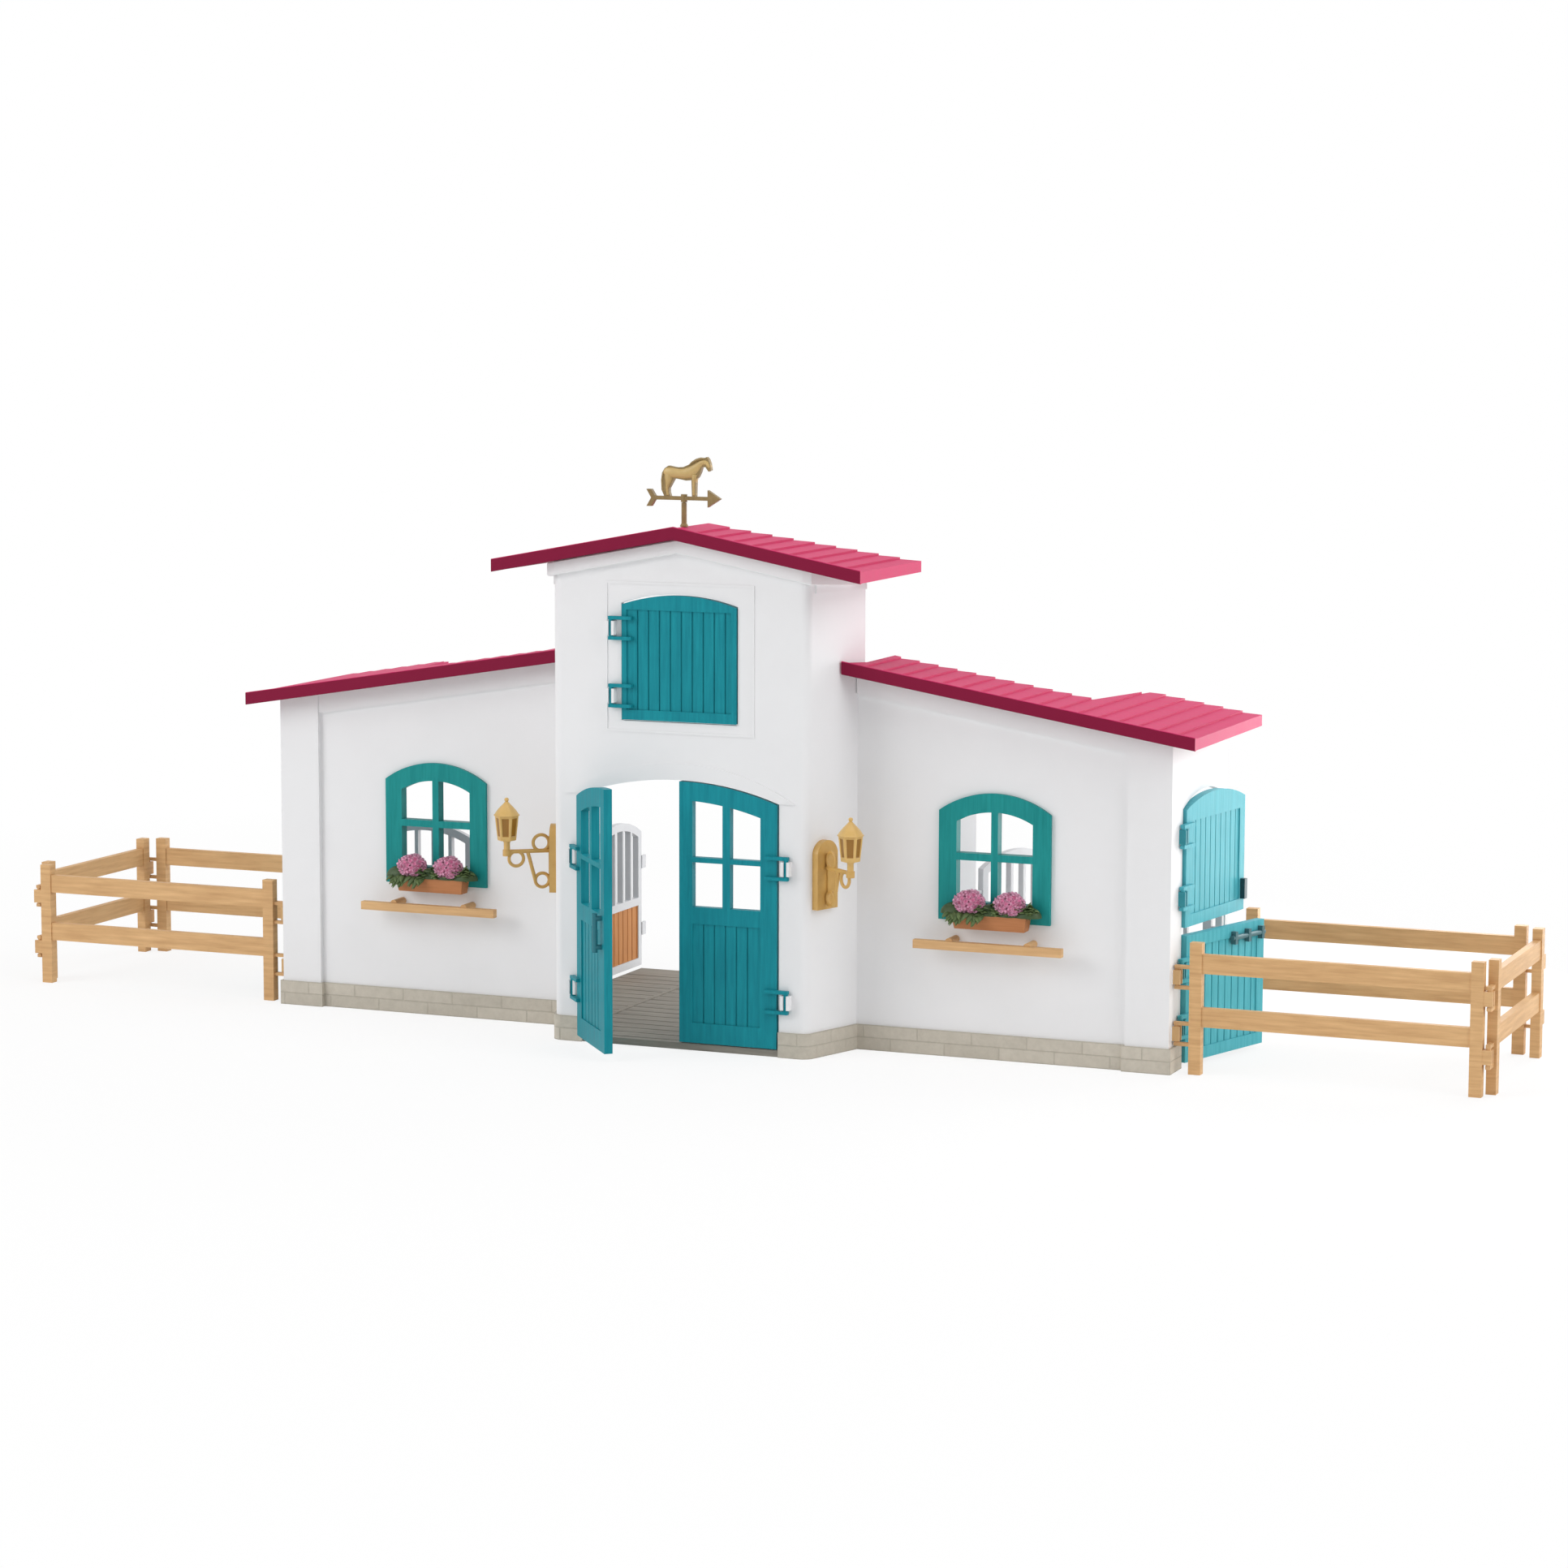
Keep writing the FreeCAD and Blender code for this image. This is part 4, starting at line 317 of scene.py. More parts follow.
plinthTune = {"tones": ((0.42, 0.385, 0.32), (0.66, 0.61, 0.525)), "rough": 0.75, "wide": 34.0, "tall": 7.5,
              "joint": 0.5, "jointSoft": 0.6, "mottle": 0.25, "detail": 5.0, "rasp": 0.65,
              "mottleShare": 0.75, "blockShare": 0.25, "jointShare": 0.18, "relief": 0.4, "bump": 0.5,
              "depth": 0.0006}

tealTune = {**woodTune, "tones": ((0.005, 0.190, 0.240), (0.012, 0.300, 0.355)), "rough": 0.42,
            "along": (1.0, 1.0, 0.06), "scale": 0.5, "cloud": 0.03, "contrast": 1.6, "bump": 0.4,
            "shine": 0.12}
# the stable leaves take a lighter copy of the door teal: painted light for leaves that face the light
stableLitTune = {**tealTune, "tones": ((0.055, 0.37, 0.44), (0.12, 0.52, 0.60))}
windowTune = {**tealTune, "tones": ((0.008, 0.205, 0.205), (0.020, 0.315, 0.305))}
floorTune = {**woodTune, "tones": ((0.17, 0.155, 0.13), (0.37, 0.34, 0.29)), "rough": 0.7,
             "along": (0.06, 1.0, 1.0), "scale": 0.4, "cloud": 0.05, "contrast": 1.4, "bump": 0.4}
fenceTune = {**woodTune, "tones": ((0.50, 0.275, 0.112), (0.76, 0.48, 0.23)), "rough": 0.55,
             "along": (0.06, 0.06, 0.9), "scale": 0.5, "cloud": 0.04, "contrast": 1.7, "bump": 0.4}
boardTune = {**woodTune, "tones": ((0.42, 0.15, 0.035), (0.66, 0.29, 0.085)), "rough": 0.6,
             "along": (1.0, 1.0, 0.06), "scale": 0.5, "cloud": 0.05, "contrast": 1.4, "bump": 0.4}
boxTune = {**woodTune, "tones": ((0.38, 0.14, 0.045), (0.56, 0.23, 0.09)), "rough": 0.6,
           "along": (0.08, 1.0, 1.0), "scale": 0.6, "cloud": 0.08, "contrast": 1.2, "bump": 0.3}

goldTune = {**plasticTune, "tones": ((0.50, 0.285, 0.07), (0.68, 0.42, 0.13)), "rough": 0.36, "cloud": 0.12,
            "grain": 0.8, "bump": 0.12, "coat": 0.15}
lanternTune = {**plasticTune, "tones": ((0.58, 0.35, 0.095), (0.74, 0.49, 0.17)),
               "amber": (0.30, 0.135, 0.009), "panes": 6, "turn": 0.6, "foot": 8.0, "tall": 11.4,
               "bar": 0.42, "barEdge": 8.0, "sillEdge": 2.0, "rough": 0.34, "cloud": 0.12, "grain": 0.8,
               "bump": 0.08, "coat": 0.25}
greyTune = {**plasticTune, "tones": ((0.62, 0.63, 0.65), (0.72, 0.73, 0.75)), "rough": 0.45, "cloud": 0.05,
            "grain": 0.8, "bump": 0.06}
latchTune = {**plasticTune, "tones": ((0.012, 0.045, 0.055), (0.02, 0.07, 0.085)), "rough": 0.4, "cloud": 0.1,
             "grain": 0.9, "bump": 0.1}
boltTune = {**latchTune, "tones": ((0.05, 0.14, 0.16), (0.09, 0.21, 0.24))}
pullTune = {**latchTune, "tones": ((0.008, 0.125, 0.16), (0.014, 0.17, 0.21))}

leafTune = {**tonedTune, "tones": ((0.026, 0.058, 0.016), (0.150, 0.215, 0.070)), "rough": 0.5, "cloud": 0.25,
            "grain": 0.9, "bump": 0.15, "vary": 0.5}
bloomTune = {**tonedTune, "tones": ((0.64, 0.11, 0.28), (0.93, 0.55, 0.72)), "rough": 0.5, "cloud": 0.3,
             "grain": 0.9, "bump": 0.1, "vary": 0.35}
vaneTune = {**tonedTune, "tones": ((0.215, 0.145, 0.05), (0.60, 0.42, 0.16)), "rough": 0.4, "cloud": 0.16,
            "grain": 0.5, "bump": 0.4, "coat": 0.1, "vary": 0.5}

slotLooks = {
    "white_wall": (mouldedPaint, "whiteWall", wallTune),
    "roof_raspberry": (roofPaint, "roofRaspberry", roofTune),
    "teal_door": (woodPaint, "tealDoor", tealTune),
    "plinth_stone": (stonePaint, "plinthStone", plinthTune),
    "floor_stone": (woodPaint, "floorStone", floorTune),
    "fence_wood": (woodPaint, "fenceWood", fenceTune),
    "gold_trim": (mouldedPaint, "goldTrim", goldTune),
    "gate_grey": (mouldedPaint, "gateGrey", greyTune),
    "gate_boards": (woodPaint, "gateBoards", boardTune),
    "flower_box": (woodPaint, "flowerBox", boxTune),
    "leaf_green": (tonedPaint, "leafGreen", leafTune),
    "blossom_pink": (tonedPaint, "blossomPink", bloomTune),
    "latch_dark": (mouldedPaint, "latchDark", latchTune),
}
paints = {slot: make(name, tune) for slot, (make, name, tune) in slotLooks.items()}


# The nodes of a piece that stands on the left and on the right
def both(piece):
    return [f"{side}_{piece}" for side in sides]


nodeLooks = (
    (both("end_wall"), endWallPaint, "endWall", endTune),
    (both("window"), woodPaint, "windowTeal", windowTune),
    # the stable doors' lighter teal is painted light
    (both("lower_stable_door") + both("upper_stable_door"), woodPaint, "stableLitTeal", stableLitTune),
    (both("lower_bolt"), mouldedPaint, "boltTeal", boltTune),
    (["left_barn_handle"], mouldedPaint, "pullTeal", pullTune),
    (["weather_vane", "vane_post"], tonedPaint, "vaneGilt", vaneTune),
)
ownPaints = {f"{side}_lantern": lanternPaint(f"{side}Lantern", f"{side}_lantern", lanternTune)
             for side in sides}
for group, make, name, tune in nodeLooks:
    ownPaints.update(dict.fromkeys(group, make(name, tune)))
for part in frame["record"]["subparts"]:
    mesh = nodes[part["node"]].data
    mesh.materials.clear()
    mesh.materials.append(ownPaints.get(part["node"], paints[part["material_slot"]]))
print("materials set:", len(paints), "slots, and", len(ownPaints), "nodes with their own")


# Closed shells of faces, given in millimetres: each has a point at its start, rows of rings and a point at
# its end. first and last are (shells, 3), rings is (shells, rows, columns, 3), and tones holds a value for
# each row and both ends
def shellMesh(name, first, rings, last, tones, smooth=True):
    count, rows, columns, _ = rings.shape
    size = rows * columns + 2
    points = np.concatenate([first[:, None], rings.reshape(count, -1, 3), last[:, None]], axis=1)
    ring = np.arange(columns)
    after = (ring + 1) % columns
    row = np.arange(rows - 1)[:, None] * columns + 1
    quads = np.stack([row + ring, row + after, row + columns + after, row + columns + ring], -1)
    start = np.stack([np.zeros(columns, int), after + 1, ring + 1], -1)
    lastRow = (rows - 1) * columns + 1
    end = np.stack([np.full(columns, size - 1), lastRow + ring, lastRow + after], -1)
    shift = (np.arange(count) * size)[:, None, None]
    fours = (quads.reshape(-1, 4) + shift).reshape(-1, 4)
    threes = (np.concatenate([start, end]) + shift).reshape(-1, 3)
    mesh = bpy.data.meshes.new(name)
    mesh.from_pydata((points.reshape(-1, 3) / millimetres).tolist(), [], fours.tolist() + threes.tolist())
    ringTones = np.repeat(tones[:, 1:-1], columns, axis=1)
    pointTones = np.concatenate([tones[:, :1], ringTones, tones[:, -1:]], axis=1)
    mesh.attributes.new("tone", "FLOAT", "POINT").data.foreach_set("value", pointTones.ravel())
    shape = bmesh.new()
    shape.from_mesh(mesh)
    bmesh.ops.recalc_face_normals(shape, faces=shape.faces)
    shape.to_mesh(mesh)
    shape.free()
    mesh.polygons.foreach_set("use_smooth", np.full(len(mesh.polygons), smooth))
    return mesh


# One strip of rings, sharp at its edges and closed by a flat face at each end
def stripMesh(name, rings):
    ends = rings.mean(1)
    return shellMesh(name, ends[:1], rings[None], ends[-1:], np.zeros((1, len(rings) + 2)), False)


# A ring's angles, one for each column
def ringAngles(columns):
    return np.arange(columns) * 2 * math.pi / columns


def unit(vectors):
    return vectors / np.linalg.norm(vectors, axis=-1, keepdims=True)


# An object of its own that moves with a node's body
def newPiece(mesh, node, slot, paint=None):
    piece = bpy.data.objects.new(mesh.name, mesh)
    mesh.materials.append(paint or paints[slot])
    scene.collection.objects.link(piece)
    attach(piece, body_of(nodes[node])[0])
    return piece


# Roof rims: a box profile with bevelled corners carried along a roof's upper line at its front, so that the
# courses end behind one straight strip
rimTune = {"names": {"tower_roof": "towerRim", "left_wing_roof": "leftWingRim",
                     "right_wing_roof": "rightWingRim"},
           "above": 0.9, "below": 6.8, "ahead": 0.5, "behind": 1.6, "bevel": 0.35, "past": 0.3, "thick": 6.55}


# A roof's upper line, x and z: up from an eave to the ridge and down again, a wing with one of its two eaves
def roofLine(node, tune):
    low, high = corners(node)
    eave = low[2] + tune["thick"]
    ridge = np.clip(0.0, low[0], high[0])
    points = ((low[0] - tune["past"], eave), (ridge, high[2]), (high[0] + tune["past"], eave))
    return np.array([point for point in points if abs(point[0]) >= abs(ridge)])


def rimMesh(name, node, tune):
    front = corners(node)[0][1]
    line = roofLine(node, tune)
    bevel = tune["bevel"]
    y0, y1, z0, z1 = front - tune["ahead"], front + tune["behind"], -tune["below"], tune["above"]
    profile = np.array([(y0, z0 + bevel), (y0, z1 - bevel), (y0 + bevel, z1), (y1 - bevel, z1),
                        (y1, z1 - bevel), (y1, z0 + bevel), (y1 - bevel, z0), (y0 + bevel, z0)])
    rings = np.broadcast_arrays(line[:, :1], profile[:, 0], line[:, 1:] + profile[:, 1])
    return stripMesh(name, np.stack(rings, -1))


# Frieze: a box profile carried round the tower's splayed plan under its roof. The plan's points lie inset
# from the wall's sides and back from its front; the top keeps one depth under the roof's upper line, which
# is ridge - fall * |x|
friezeTune = {"inset": (1.34, 14.34, 19.54), "back": (40.5, 1.9, 0.7), "under": 7.1, "inside": 4.0,
              "tall": 8.0, "round": 0.6}


def friezeMesh(name, wall, roof, tune):
    low, high = corners(wall)
    half = high[0] - np.array(tune["inset"])
    front = low[1] + np.array(tune["back"])
    plan = np.stack([np.concatenate([-half, [0.0], half[::-1]]),
                     np.concatenate([front, front[-1:], front[::-1]])], -1)
    along = unit(np.gradient(plan, axis=0))
    inward = np.stack([-along[:, 1], along[:, 0]], -1)
    eave, ridge = roofLine(roof, rimTune)[:2]
    fall = (ridge[1] - eave[1]) / (ridge[0] - eave[0])
    top = ridge[1] - tune["under"] - fall * np.abs(plan[:, 0])
    depth, tall, edge = tune["inside"], tune["tall"], tune["round"]
    profile = np.array([(0, edge), (edge, 0), (depth, 0), (depth, tall), (edge, tall), (0, tall - edge)])
    flat = plan[:, None] + profile[:, 0, None] * inward[:, None]
    return stripMesh(name, np.concatenate([flat, (top[:, None] - profile[:, 1])[..., None]], -1))


# Vane's horse: each limb is an oval profile carried along its centre line, so that the figure swells out of
# the flat plate. Places are shares of the figure's length and height, half widths and swells millimetres
horseTune = {"long": 31.8, "tall": 23.6, "forward": 1.8, "rows": 20, "columns": 24}
horseLimbs = {
    "trunk": {"along": (0.03, 0.06, 0.12, 0.22, 0.34, 0.46, 0.56, 0.64, 0.71, 0.78, 0.85, 0.91, 0.95, 0.98),
              "up": (0.60, 0.605, 0.61, 0.60, 0.585, 0.575, 0.60, 0.66, 0.74, 0.83, 0.875, 0.86, 0.77, 0.70),
              "half": (0.8, 2.2, 3.4, 3.5, 3.1, 3.4, 3.9, 3.7, 3.1, 2.4, 1.9, 1.8, 1.4, 0.9),
              "swell": (0.8, 1.9, 2.5, 2.7, 2.7, 2.7, 2.7, 2.4, 2.2, 2.1, 2.1, 2.0, 1.9, 1.5), "tone": 0.95},
    "hindLeg": {"along": (0.16, 0.15, 0.145, 0.125, 0.118, 0.128, 0.14),
                "up": (0.62, 0.50, 0.38, 0.26, 0.19, 0.10, 0.02),
                "half": (3.0, 3.2, 2.3, 1.4, 1.2, 1.1, 1.4),
                "swell": (2.2, 2.6, 2.4, 2.1, 2.0, 1.9, 2.0), "tone": 0.75},
    "tail": {"along": (0.08, 0.035, 0.02, 0.03, 0.07), "up": (0.66, 0.54, 0.40, 0.20, 0.03),
             "half": (0.5, 0.8, 0.9, 0.8, 0.4), "swell": (1.7, 2.0, 2.0, 1.9, 1.7), "tone": 0.1},
    "foreLeg": {"along": (0.67, 0.662, 0.656, 0.655, 0.655), "up": (0.58, 0.46, 0.34, 0.18, 0.02),
                "half": (2.2, 1.9, 1.2, 1.1, 1.3), "swell": (2.3, 2.4, 2.1, 2.0, 2.0), "tone": 0.75},
    "mane": {"along": (0.55, 0.62, 0.70, 0.78, 0.88), "up": (0.78, 0.85, 0.91, 0.945, 0.955),
             "half": (0.4, 0.9, 1.1, 1.0, 0.5), "swell": (1.8, 2.4, 2.6, 2.5, 2.0), "tone": 0.1}}


def horseMesh(name, node, tune, limbs):
    low, high = corners(node)
    middle = (low + high) / 2
    angle = ringAngles(tune["columns"])
    share = np.linspace(0, 1, tune["rows"] + 2)
    shells = []
    for limb in limbs.values():
        marks = np.linspace(0, 1, len(limb["along"]))
        measures = (np.interp(share, marks, limb[key]) for key in ("along", "up", "half", "swell"))
        along, up, half, swell = (measure[:, None] for measure in measures)
        x = middle[0] + tune["forward"] + (along - 0.5) * tune["long"]
        z = high[2] + (up - 1) * tune["tall"]
        way = unit(np.gradient(np.hstack([x, z]), axis=0))
        reach = half * np.cos(angle)
        shells.append(np.stack([x - way[:, 1:] * reach, middle[1] + swell * np.sin(angle),
                                z + way[:, :1] * reach], -1))
    shells = np.array(shells)
    tones = np.repeat([[limb["tone"]] for limb in limbs.values()], tune["rows"] + 2, axis=1)
    return shellMesh(name, shells[:, 0].mean(1), shells[:, 1:-1], shells[:, -1].mean(1), tones)


# Lanterns: a profile of heights and radii turned round the stem. Facets flatten the body to
# cos(pi / panes) / cos d at the angle d from a facet's middle, and a pane is sunk where
# |cos(panes / 2 * a + turn)| at the angle a passes the bar's share
lanternShape = {"heights": (0.0, 4.2, 5.6, 5.7, 7.0, 7.4, 8.0, 8.6, 13.7, 18.8, 19.4, 20.2, 20.4, 20.9,
                            21.4, 22.6, 24.0, 25.6, 27.2, 28.4, 28.7, 29.2, 29.9, 30.6, 31.1),
                "radii": (1.9, 1.9, 2.6, 5.6, 5.8, 5.85, 5.9, 5.97, 6.55, 7.1, 7.15, 7.2, 7.75, 7.8, 7.3, 6.5,
                          5.5, 4.0, 2.4, 1.3, 0.8, 1.1, 1.4, 1.2, 0.6),
                "sunk": 0.55, "columns": 72, "capFacet": 0.35, "bodyStart": 5.65, "bodyEnd": 20.3}


def lanternMesh(name, node, tune, look):
    low, high = corners(node)
    middle = (low + high) / 2
    level = np.array(tune["heights"])[:, None]
    radius = np.array(tune["radii"])[:, None]
    angle = ringAngles(tune["columns"])
    phase = look["panes"] / 2 * angle + look["turn"]
    off = (np.mod(phase + math.pi / 2, math.pi) - math.pi / 2) / (look["panes"] / 2)
    facet = math.cos(math.pi / look["panes"]) / np.cos(off)
    share = np.select([level > tune["bodyEnd"], level > tune["bodyStart"]], [tune["capFacet"], 1.0], 0.0)
    pane = np.clip((np.abs(np.cos(phase)) - look["bar"]) * look["barEdge"], 0, 1)
    glass = (level > look["foot"]) & (level < look["foot"] + look["tall"])
    reach = radius * (1 - share + share * facet) - tune["sunk"] * pane * glass
    height = np.broadcast_to(low[2] + level * (high[2] - low[2]) / tune["heights"][-1], reach.shape)
    x = middle[0] + reach * np.cos(angle)
    y = middle[1] + reach * np.sin(angle)
    return stripMesh(name, np.stack([x, y, height], -1))


# Flower heads. Spots are spread over an ellipsoid by the golden angle, and each carries a floret: a cup whose
# outline is r * (1 - notch * r * (1 - |cos(petals / 2 * a)|)) at angle a and radius share r, closed by a stem
# below. Inside the florets lies a plain ellipsoid, a little smaller
bloomShape = {"halfWide": 9.5, "florets": 64, "core": 0.8, "inner": 0.97, "petals": 5, "petal": 2.9,
              "notch": 0.56, "sizes": (0.85, 1.15), "uneven": 0.09, "columns": 20, "seed": 7,
              "lean": (0.31, 0.17, 0.93),
              "radius": (0.16, 0.5, 0.85, 1.0, 0.7, 0.3), "height": (0.1, 0.12, 0.3, 0.46, 0.1, -0.35),
              "heart": 0.02, "stem": 0.6, "tones": (0.0, 0.1, 0.55, 0.85, 1.0, 0.6, 0.2, 0.0)}


def blossomMesh(name, node, tune):
    low, high = corners(node)
    reach = (high - low) / 2
    middle = (high + low) / 2
    axes = np.array([tune["halfWide"], reach[1], reach[2]]) * tune["core"]
    count = tune["florets"]
    chance = np.random.default_rng(tune["seed"])
    spot = np.arange(count) + 0.5
    height = 1 - 2 * spot / count
    around = spot * math.pi * (3 - math.sqrt(5))
    flat = np.sqrt(1 - height ** 2)
    ways = np.stack([flat * np.cos(around), flat * np.sin(around), height], -1)
    normals = unit(ways / axes)
    side = unit(np.cross(normals, tune["lean"]))
    other = np.cross(normals, side)
    radius = np.array(tune["radius"])[:, None]
    angle = ringAngles(tune["columns"])
    cup = radius * (1 - tune["notch"] * radius * (1 - np.abs(np.cos(tune["petals"] / 2 * angle))))
    size = tune["petal"] * chance.uniform(*tune["sizes"], count)[:, None]
    turned = angle + chance.uniform(0, 2 * math.pi, count)[:, None, None]
    lift = np.array(tune["height"])[:, None, None]
    rings = size[..., None, None] * ((cup * np.cos(turned))[..., None] * side[:, None, None]
                                     + (cup * np.sin(turned))[..., None] * other[:, None, None]
                                     + lift * normals[:, None, None])
    roots = ways * axes * chance.uniform(1 - tune["uneven"], 1 + tune["uneven"], count)[:, None]
    rows = len(tune["radius"])
    tilt = ((np.arange(rows) + 1) * math.pi / (rows + 1))[:, None]
    ball = (np.sin(tilt) * np.cos(angle), np.sin(tilt) * np.sin(angle), np.cos(tilt))
    bands = np.stack(np.broadcast_arrays(*ball), -1) * axes * tune["inner"]
    pole = np.array([[0.0, 0.0, axes[2] * tune["inner"]]])
    head = (np.concatenate([roots + size * normals * tune["heart"], pole]),
            np.concatenate([rings + roots[:, None, None], bands[None]]),
            np.concatenate([roots - size * normals * tune["stem"], -pole]))
    tones = np.concatenate([np.tile(tune["tones"], (count, 1)), np.zeros((1, rows + 2))])
    apart = np.array([reach[0] - tune["halfWide"], 0.0, 0.0])
    pair = (np.concatenate([part + middle - apart, part + middle + apart]) for part in head)
    return shellMesh(name, *pair, np.concatenate([tones, tones]))


# Leaves. A blade is a lens-shaped profile carried along a drooping midrib: the point at share u lies
# length * u along its heading and droop * u * u below it, and its half width is wide * sin(pi * u) ** taper,
# folded at the midrib. The first blades hang over the left part of the box's front
leafShape = {"blades": 120, "hanging": 34, "rows": 7, "columns": 8, "seed": 11, "length": (4.5, 8.0),
             "wide": (1.5, 2.5), "lift": (10.0, 80.0), "droop": (1.0, 4.0), "thick": 0.3, "fold": 0.35,
             "swing": 110.0, "swingShare": 0.7, "fan": 35.0, "inset": 4.0, "scatter": 1.0,
             "ahead": (-1.0, 4.0), "sunk": (1.0, 5.5), "taper": 0.8, "blunt": 0.97, "firstRow": 0.6,
             "tones": (0.1, 0.9), "toneVary": (0.5, 1.1)}
hangTune = {"fromEnd": 6.0, "fromMiddle": 2.0, "back": 1.5, "level": (1.5, 3.5), "swing": 0.5, "lift": 0.3,
            "droop": 4.0}


def leafMesh(name, node, tune, hang):
    low, high = corners(node)
    middle = (low + high) / 2
    count, hung = tune["blades"], tune["hanging"]
    chance = np.random.default_rng(tune["seed"])
    shares = np.linspace(-1, 1, count)
    spread = shares * ((high[0] - low[0]) / 2 - tune["inset"])
    along = middle[0] + spread + chance.uniform(-tune["scatter"], tune["scatter"], count)
    depth = middle[1] - chance.uniform(*tune["ahead"], count)
    level = high[2] - chance.uniform(*tune["sunk"], count)
    along[:hung] = chance.uniform(low[0] + hang["fromEnd"], middle[0] - hang["fromMiddle"], hung)
    depth[:hung] = low[1] + hang["back"]
    level[:hung] = low[2] + chance.uniform(*hang["level"], hung)
    turned = chance.uniform(-tune["swing"], tune["swing"], count) * tune["swingShare"]
    swing = np.radians(turned + shares * tune["fan"])
    lift = np.radians(chance.uniform(*tune["lift"], count))[:, None]
    length, wide, droop = (chance.uniform(*tune[key], count)[:, None] for key in ("length", "wide", "droop"))
    swing[:hung] *= hang["swing"]
    lift[:hung] *= hang["lift"]
    droop[:hung] += hang["droop"]
    upward = np.array([0.0, 0.0, 1.0])
    noRise = np.zeros(count)
    heading = np.stack([np.sin(swing), -np.cos(swing), noRise], -1)
    side = np.stack([np.cos(swing), np.sin(swing), noRise], -1)[:, None]
    out = np.cos(lift) * heading + np.sin(lift) * upward
    roots = np.stack([along, depth, level], -1)
    rows = tune["rows"]
    u = (np.arange(rows) + tune["firstRow"]) / rows

    def midrib(share):
        ahead = (length * share)[..., None] * out[:, None]
        return roots[:, None] + ahead - (droop * share ** 2)[..., None] * upward

    slope = unit(length[..., None] * out[:, None] - 2 * (droop * u)[..., None] * upward)
    face = np.cross(side, slope)
    halfWide = (wide * np.sin(math.pi * np.minimum(u, tune["blunt"])) ** tune["taper"])[..., None]
    phase = ringAngles(tune["columns"])
    across = halfWide * np.cos(phase)
    proud = tune["thick"] * np.sin(phase) + tune["fold"] * np.abs(across)
    rings = midrib(u)[:, :, None] + across[..., None] * side[:, :, None] + proud[..., None] * face[:, :, None]
    root, tip = (midrib(np.array([share]))[:, 0] for share in (0.0, 1.0))
    tones = np.linspace(*tune["tones"], rows + 2) * chance.uniform(*tune["toneVary"], count)[:, None]
    return shellMesh(name, root, rings, tip, tones)


newPiece(friezeMesh("towerFrieze", "tower_wall", "tower_roof", friezeTune), "tower_wall", "white_wall")
newPiece(horseMesh("vaneHorse", "weather_vane", horseTune, horseLimbs), "weather_vane", "gold_trim",
         ownPaints["weather_vane"])
for node, name in rimTune["names"].items():
    newPiece(rimMesh(name, node, rimTune), node, "roof_raspberry")
for side in sides:
    lamp, heads, leaves = f"{side}_lantern", f"{side}_blossoms", f"{side}_leaves"
    lantern = lanternMesh(f"{side}WallLantern", lamp, lanternShape, lanternTune)
    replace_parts(newPiece(lantern, lamp, "gold_trim", ownPaints[lamp]), lamp)
    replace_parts(newPiece(blossomMesh(f"{side}FlowerHeads", heads, bloomShape), heads, "blossom_pink"), heads)
    newPiece(leafMesh(f"{side}LeafBlades", leaves, leafShape, hangTune), leaves, "leaf_green")
print("frieze, vane's horse, roof rims, lanterns and flower boxes made")


# Stage: a pale floor that keeps a faint shadow, and a world that is white to the camera and soft to all else.
# The floor's veil of white light is whole beyond the far distance
stageTune = {"half": 6.0, "tones": ((0.93, 0.93, 0.93), (0.94, 0.94, 0.94)), "cloud": 0.002, "rough": 0.9,
             "shine": 0.1, "worldLight": 0.48, "veil": 0.8, "near": 450.0, "far": 1100.0}
half = stageTune["half"]
floorCorners = [(-half, -half, 0), (half, -half, 0), (half, half, 0), (-half, half, 0)]
floorMesh = bpy.data.meshes.new("studioFloor")
floorMesh.from_pydata(floorCorners, [], [(0, 1, 2, 3)])
studioFloor = bpy.data.objects.new("studioFloor", floorMesh)
scene.collection.objects.link(studioFloor)
paper = Paint("studioPaper", stageTune)
paper.colour(paper.between(paper.cloud(), *stageTune["tones"]))
away = (paper.x * paper.x + paper.y * paper.y).math("SQRT")
fade = ((away - stageTune["near"]) / (stageTune["far"] - stageTune["near"])).clamp()
veil = stageTune["veil"] + (1 - stageTune["veil"]) * fade
glow = paper.add("ShaderNodeEmission", {}, {"Color": white, "Strength": 1.0})
veiled = {0: paper.looked() * veil, 1: Wire(paper, paper.shader.outputs[0]), 2: glow}
surface = paper.add("ShaderNodeMixShader", {}, veiled)
paper.tree.links.new(surface.socket, paper.tree.nodes["Material Output"].inputs["Surface"])
floorMesh.materials.append(paper.material)

scene.world = bpy.data.worlds.new("studio")
scene.world.use_nodes = True
sky = Board(scene.world.node_tree)
soft = sky.add("ShaderNodeBackground", {}, {"Color": white, "Strength": stageTune["worldLight"]})
bright = sky.add("ShaderNodeBackground", {}, {"Color": white, "Strength": 1.0})
chosen = sky.add("ShaderNodeMixShader", {}, {0: sky.looked(), 1: soft, 2: bright})
sky.tree.links.new(chosen.socket, sky.tree.nodes["World Output"].inputs["Surface"])

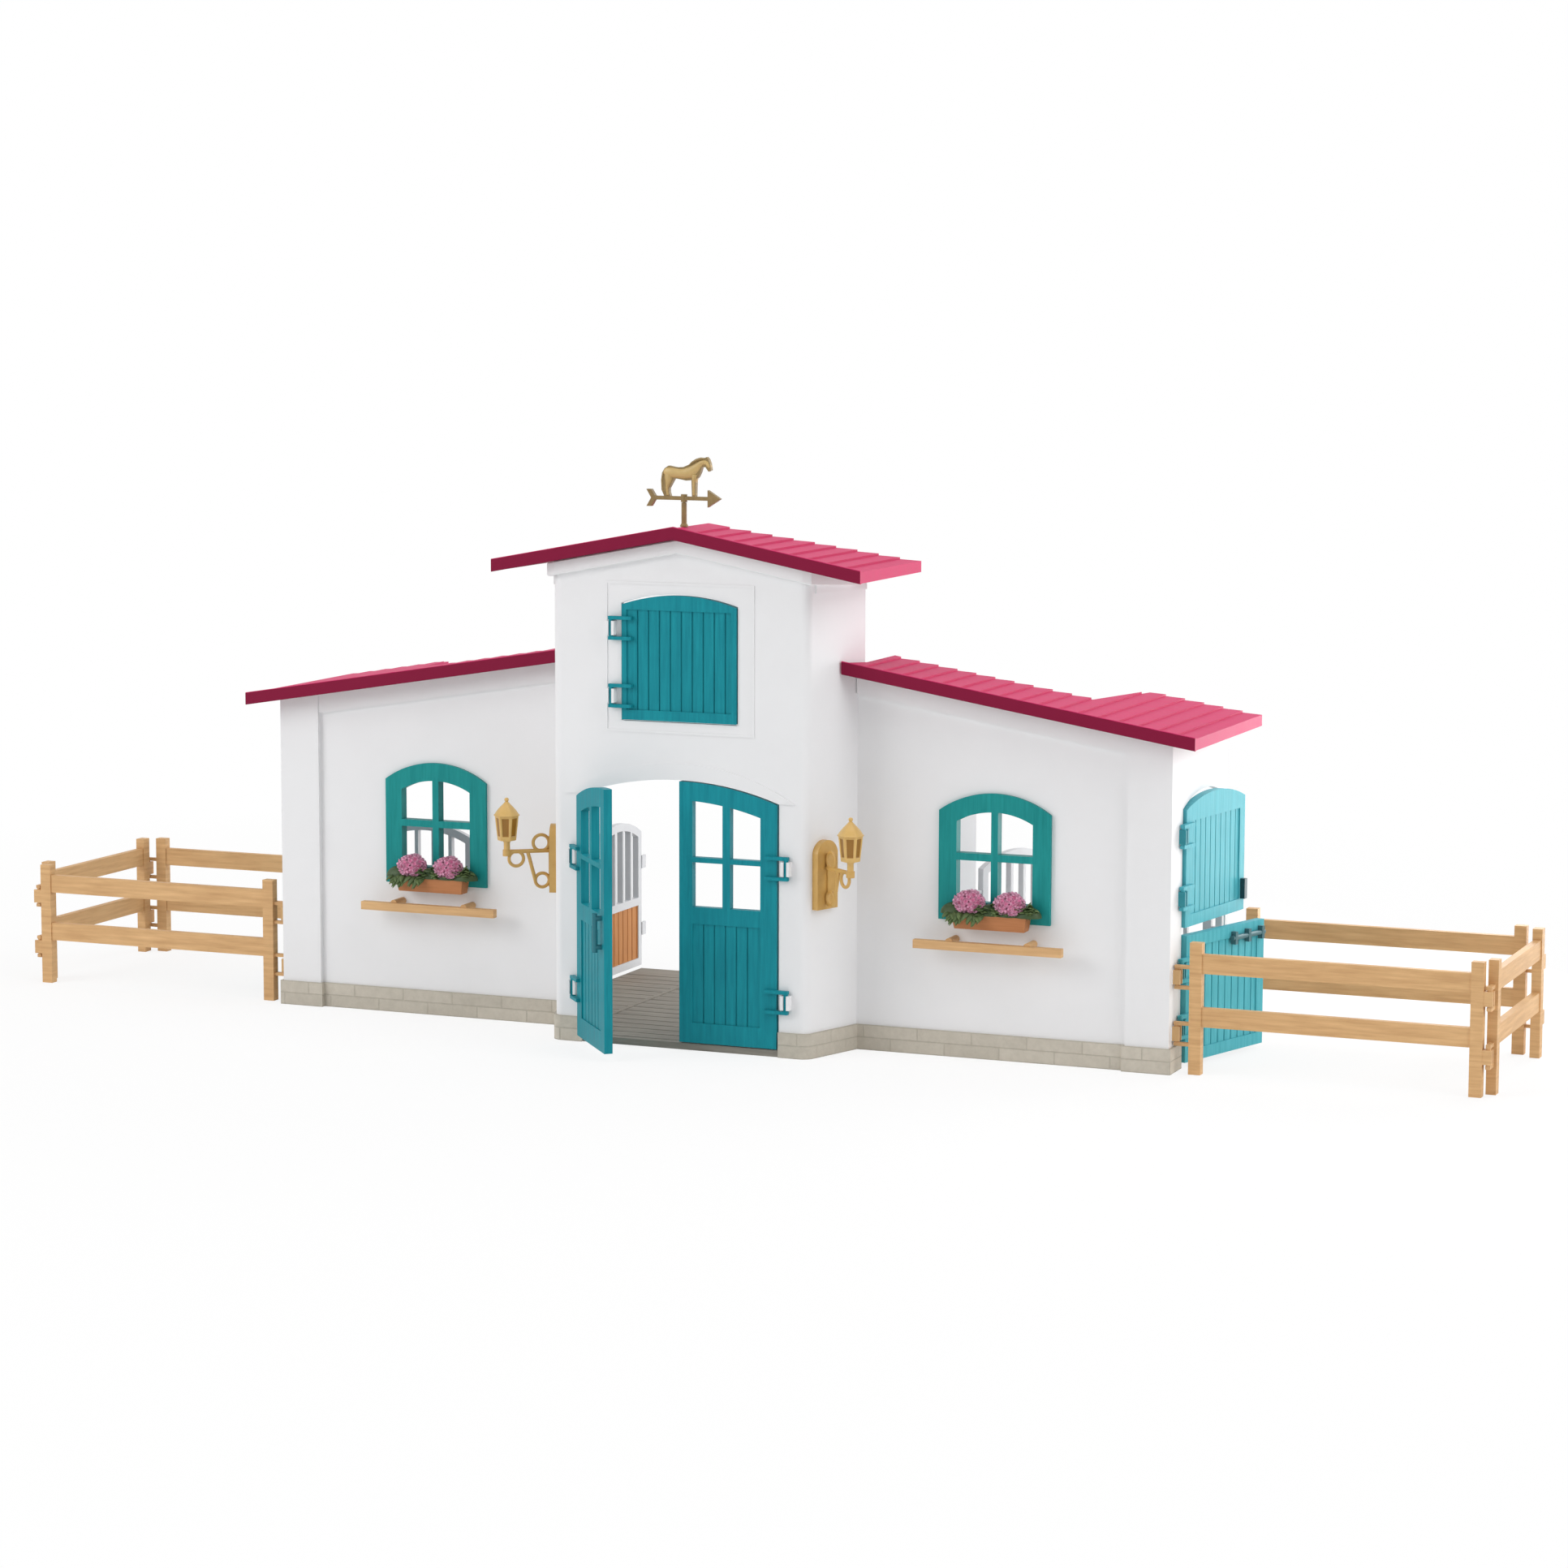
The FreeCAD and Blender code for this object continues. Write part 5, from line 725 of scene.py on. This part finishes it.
# Soft boxes: square lamps, in metres and watts; the stall light brightens what the right window shows
lightTune = {
    "keyLight": {"place": (2.4, -0.6, 2.0), "target": (0.05, 0.0, 0.15), "size": 1.6, "power": 20.0},
    "fillLight": {"place": (-1.6, -1.5, 1.2), "target": (0.0, 0.0, 0.15), "size": 1.4, "power": 22.5},
    "topLight": {"place": (0.0, 0.3, 2.8), "target": (0.0, 0.0, 0.0), "size": 2.2, "power": 15.0},
    "sideLight": {"place": (2.6, -0.3, 0.9), "target": (0.1, 0.0, 0.12), "size": 1.4, "power": 9.5},
    "stallLight": {"place": (0.42, 0.42, 0.16), "target": (0.1, 0.08, 0.12), "size": 0.3, "power": 1.0},
    "backLight": {"place": (1.2, 1.6, 0.9), "target": (0.1, 0.05, 0.1), "size": 1.2, "power": 10.0},
}
for name, tune in lightTune.items():
    lamp = bpy.data.lights.new(name, "AREA")
    lamp.shape = "SQUARE"
    lamp.size = tune["size"]
    lamp.energy = tune["power"]
    holder = bpy.data.objects.new(name, lamp)
    holder.location = tune["place"]
    holder.rotation_mode = "QUATERNION"
    holder.rotation_quaternion = (Vector(tune["target"]) - holder.location).to_track_quat("-Z", "Y")
    scene.collection.objects.link(holder)
print("stage and", len(lightTune), "lights set")

# Camera at the photo's angle: it looks from azimuth and pitch at a target from a distance. Focal length and
# width are in the photo's pixels, angles in degrees, places in metres, the sensor in millimetres
cameraTune = {"focal": 5014.0, "wide": 1932.0, "azimuth": 22.346, "pitch": 7.271, "roll": 0.155,
              "target": (0.04995, 0.0, 0.15615), "distance": 2.4077, "sensor": 36.0, "near": 0.05,
              "far": 50.0}
lens = bpy.data.cameras.new("photoCamera")
lens.sensor_width = cameraTune["sensor"]
lens.lens = cameraTune["focal"] / cameraTune["wide"] * cameraTune["sensor"]
lens.clip_start = cameraTune["near"]
lens.clip_end = cameraTune["far"]
azimuth, pitch, roll = (math.radians(cameraTune[key]) for key in ("azimuth", "pitch", "roll"))
back = Vector((math.sin(azimuth) * math.cos(pitch), -math.cos(azimuth) * math.cos(pitch), math.sin(pitch)))
eye = bpy.data.objects.new("photoCamera", lens)
eye.location = Vector(cameraTune["target"]) + back * cameraTune["distance"]
eye.rotation_mode = "QUATERNION"
eye.rotation_quaternion = Matrix.Rotation(roll, 4, back).to_quaternion() @ (-back).to_track_quat("-Z", "Y")
scene.collection.objects.link(eye)
scene.camera = eye
scene.view_settings.view_transform = "Standard"
print("camera set")
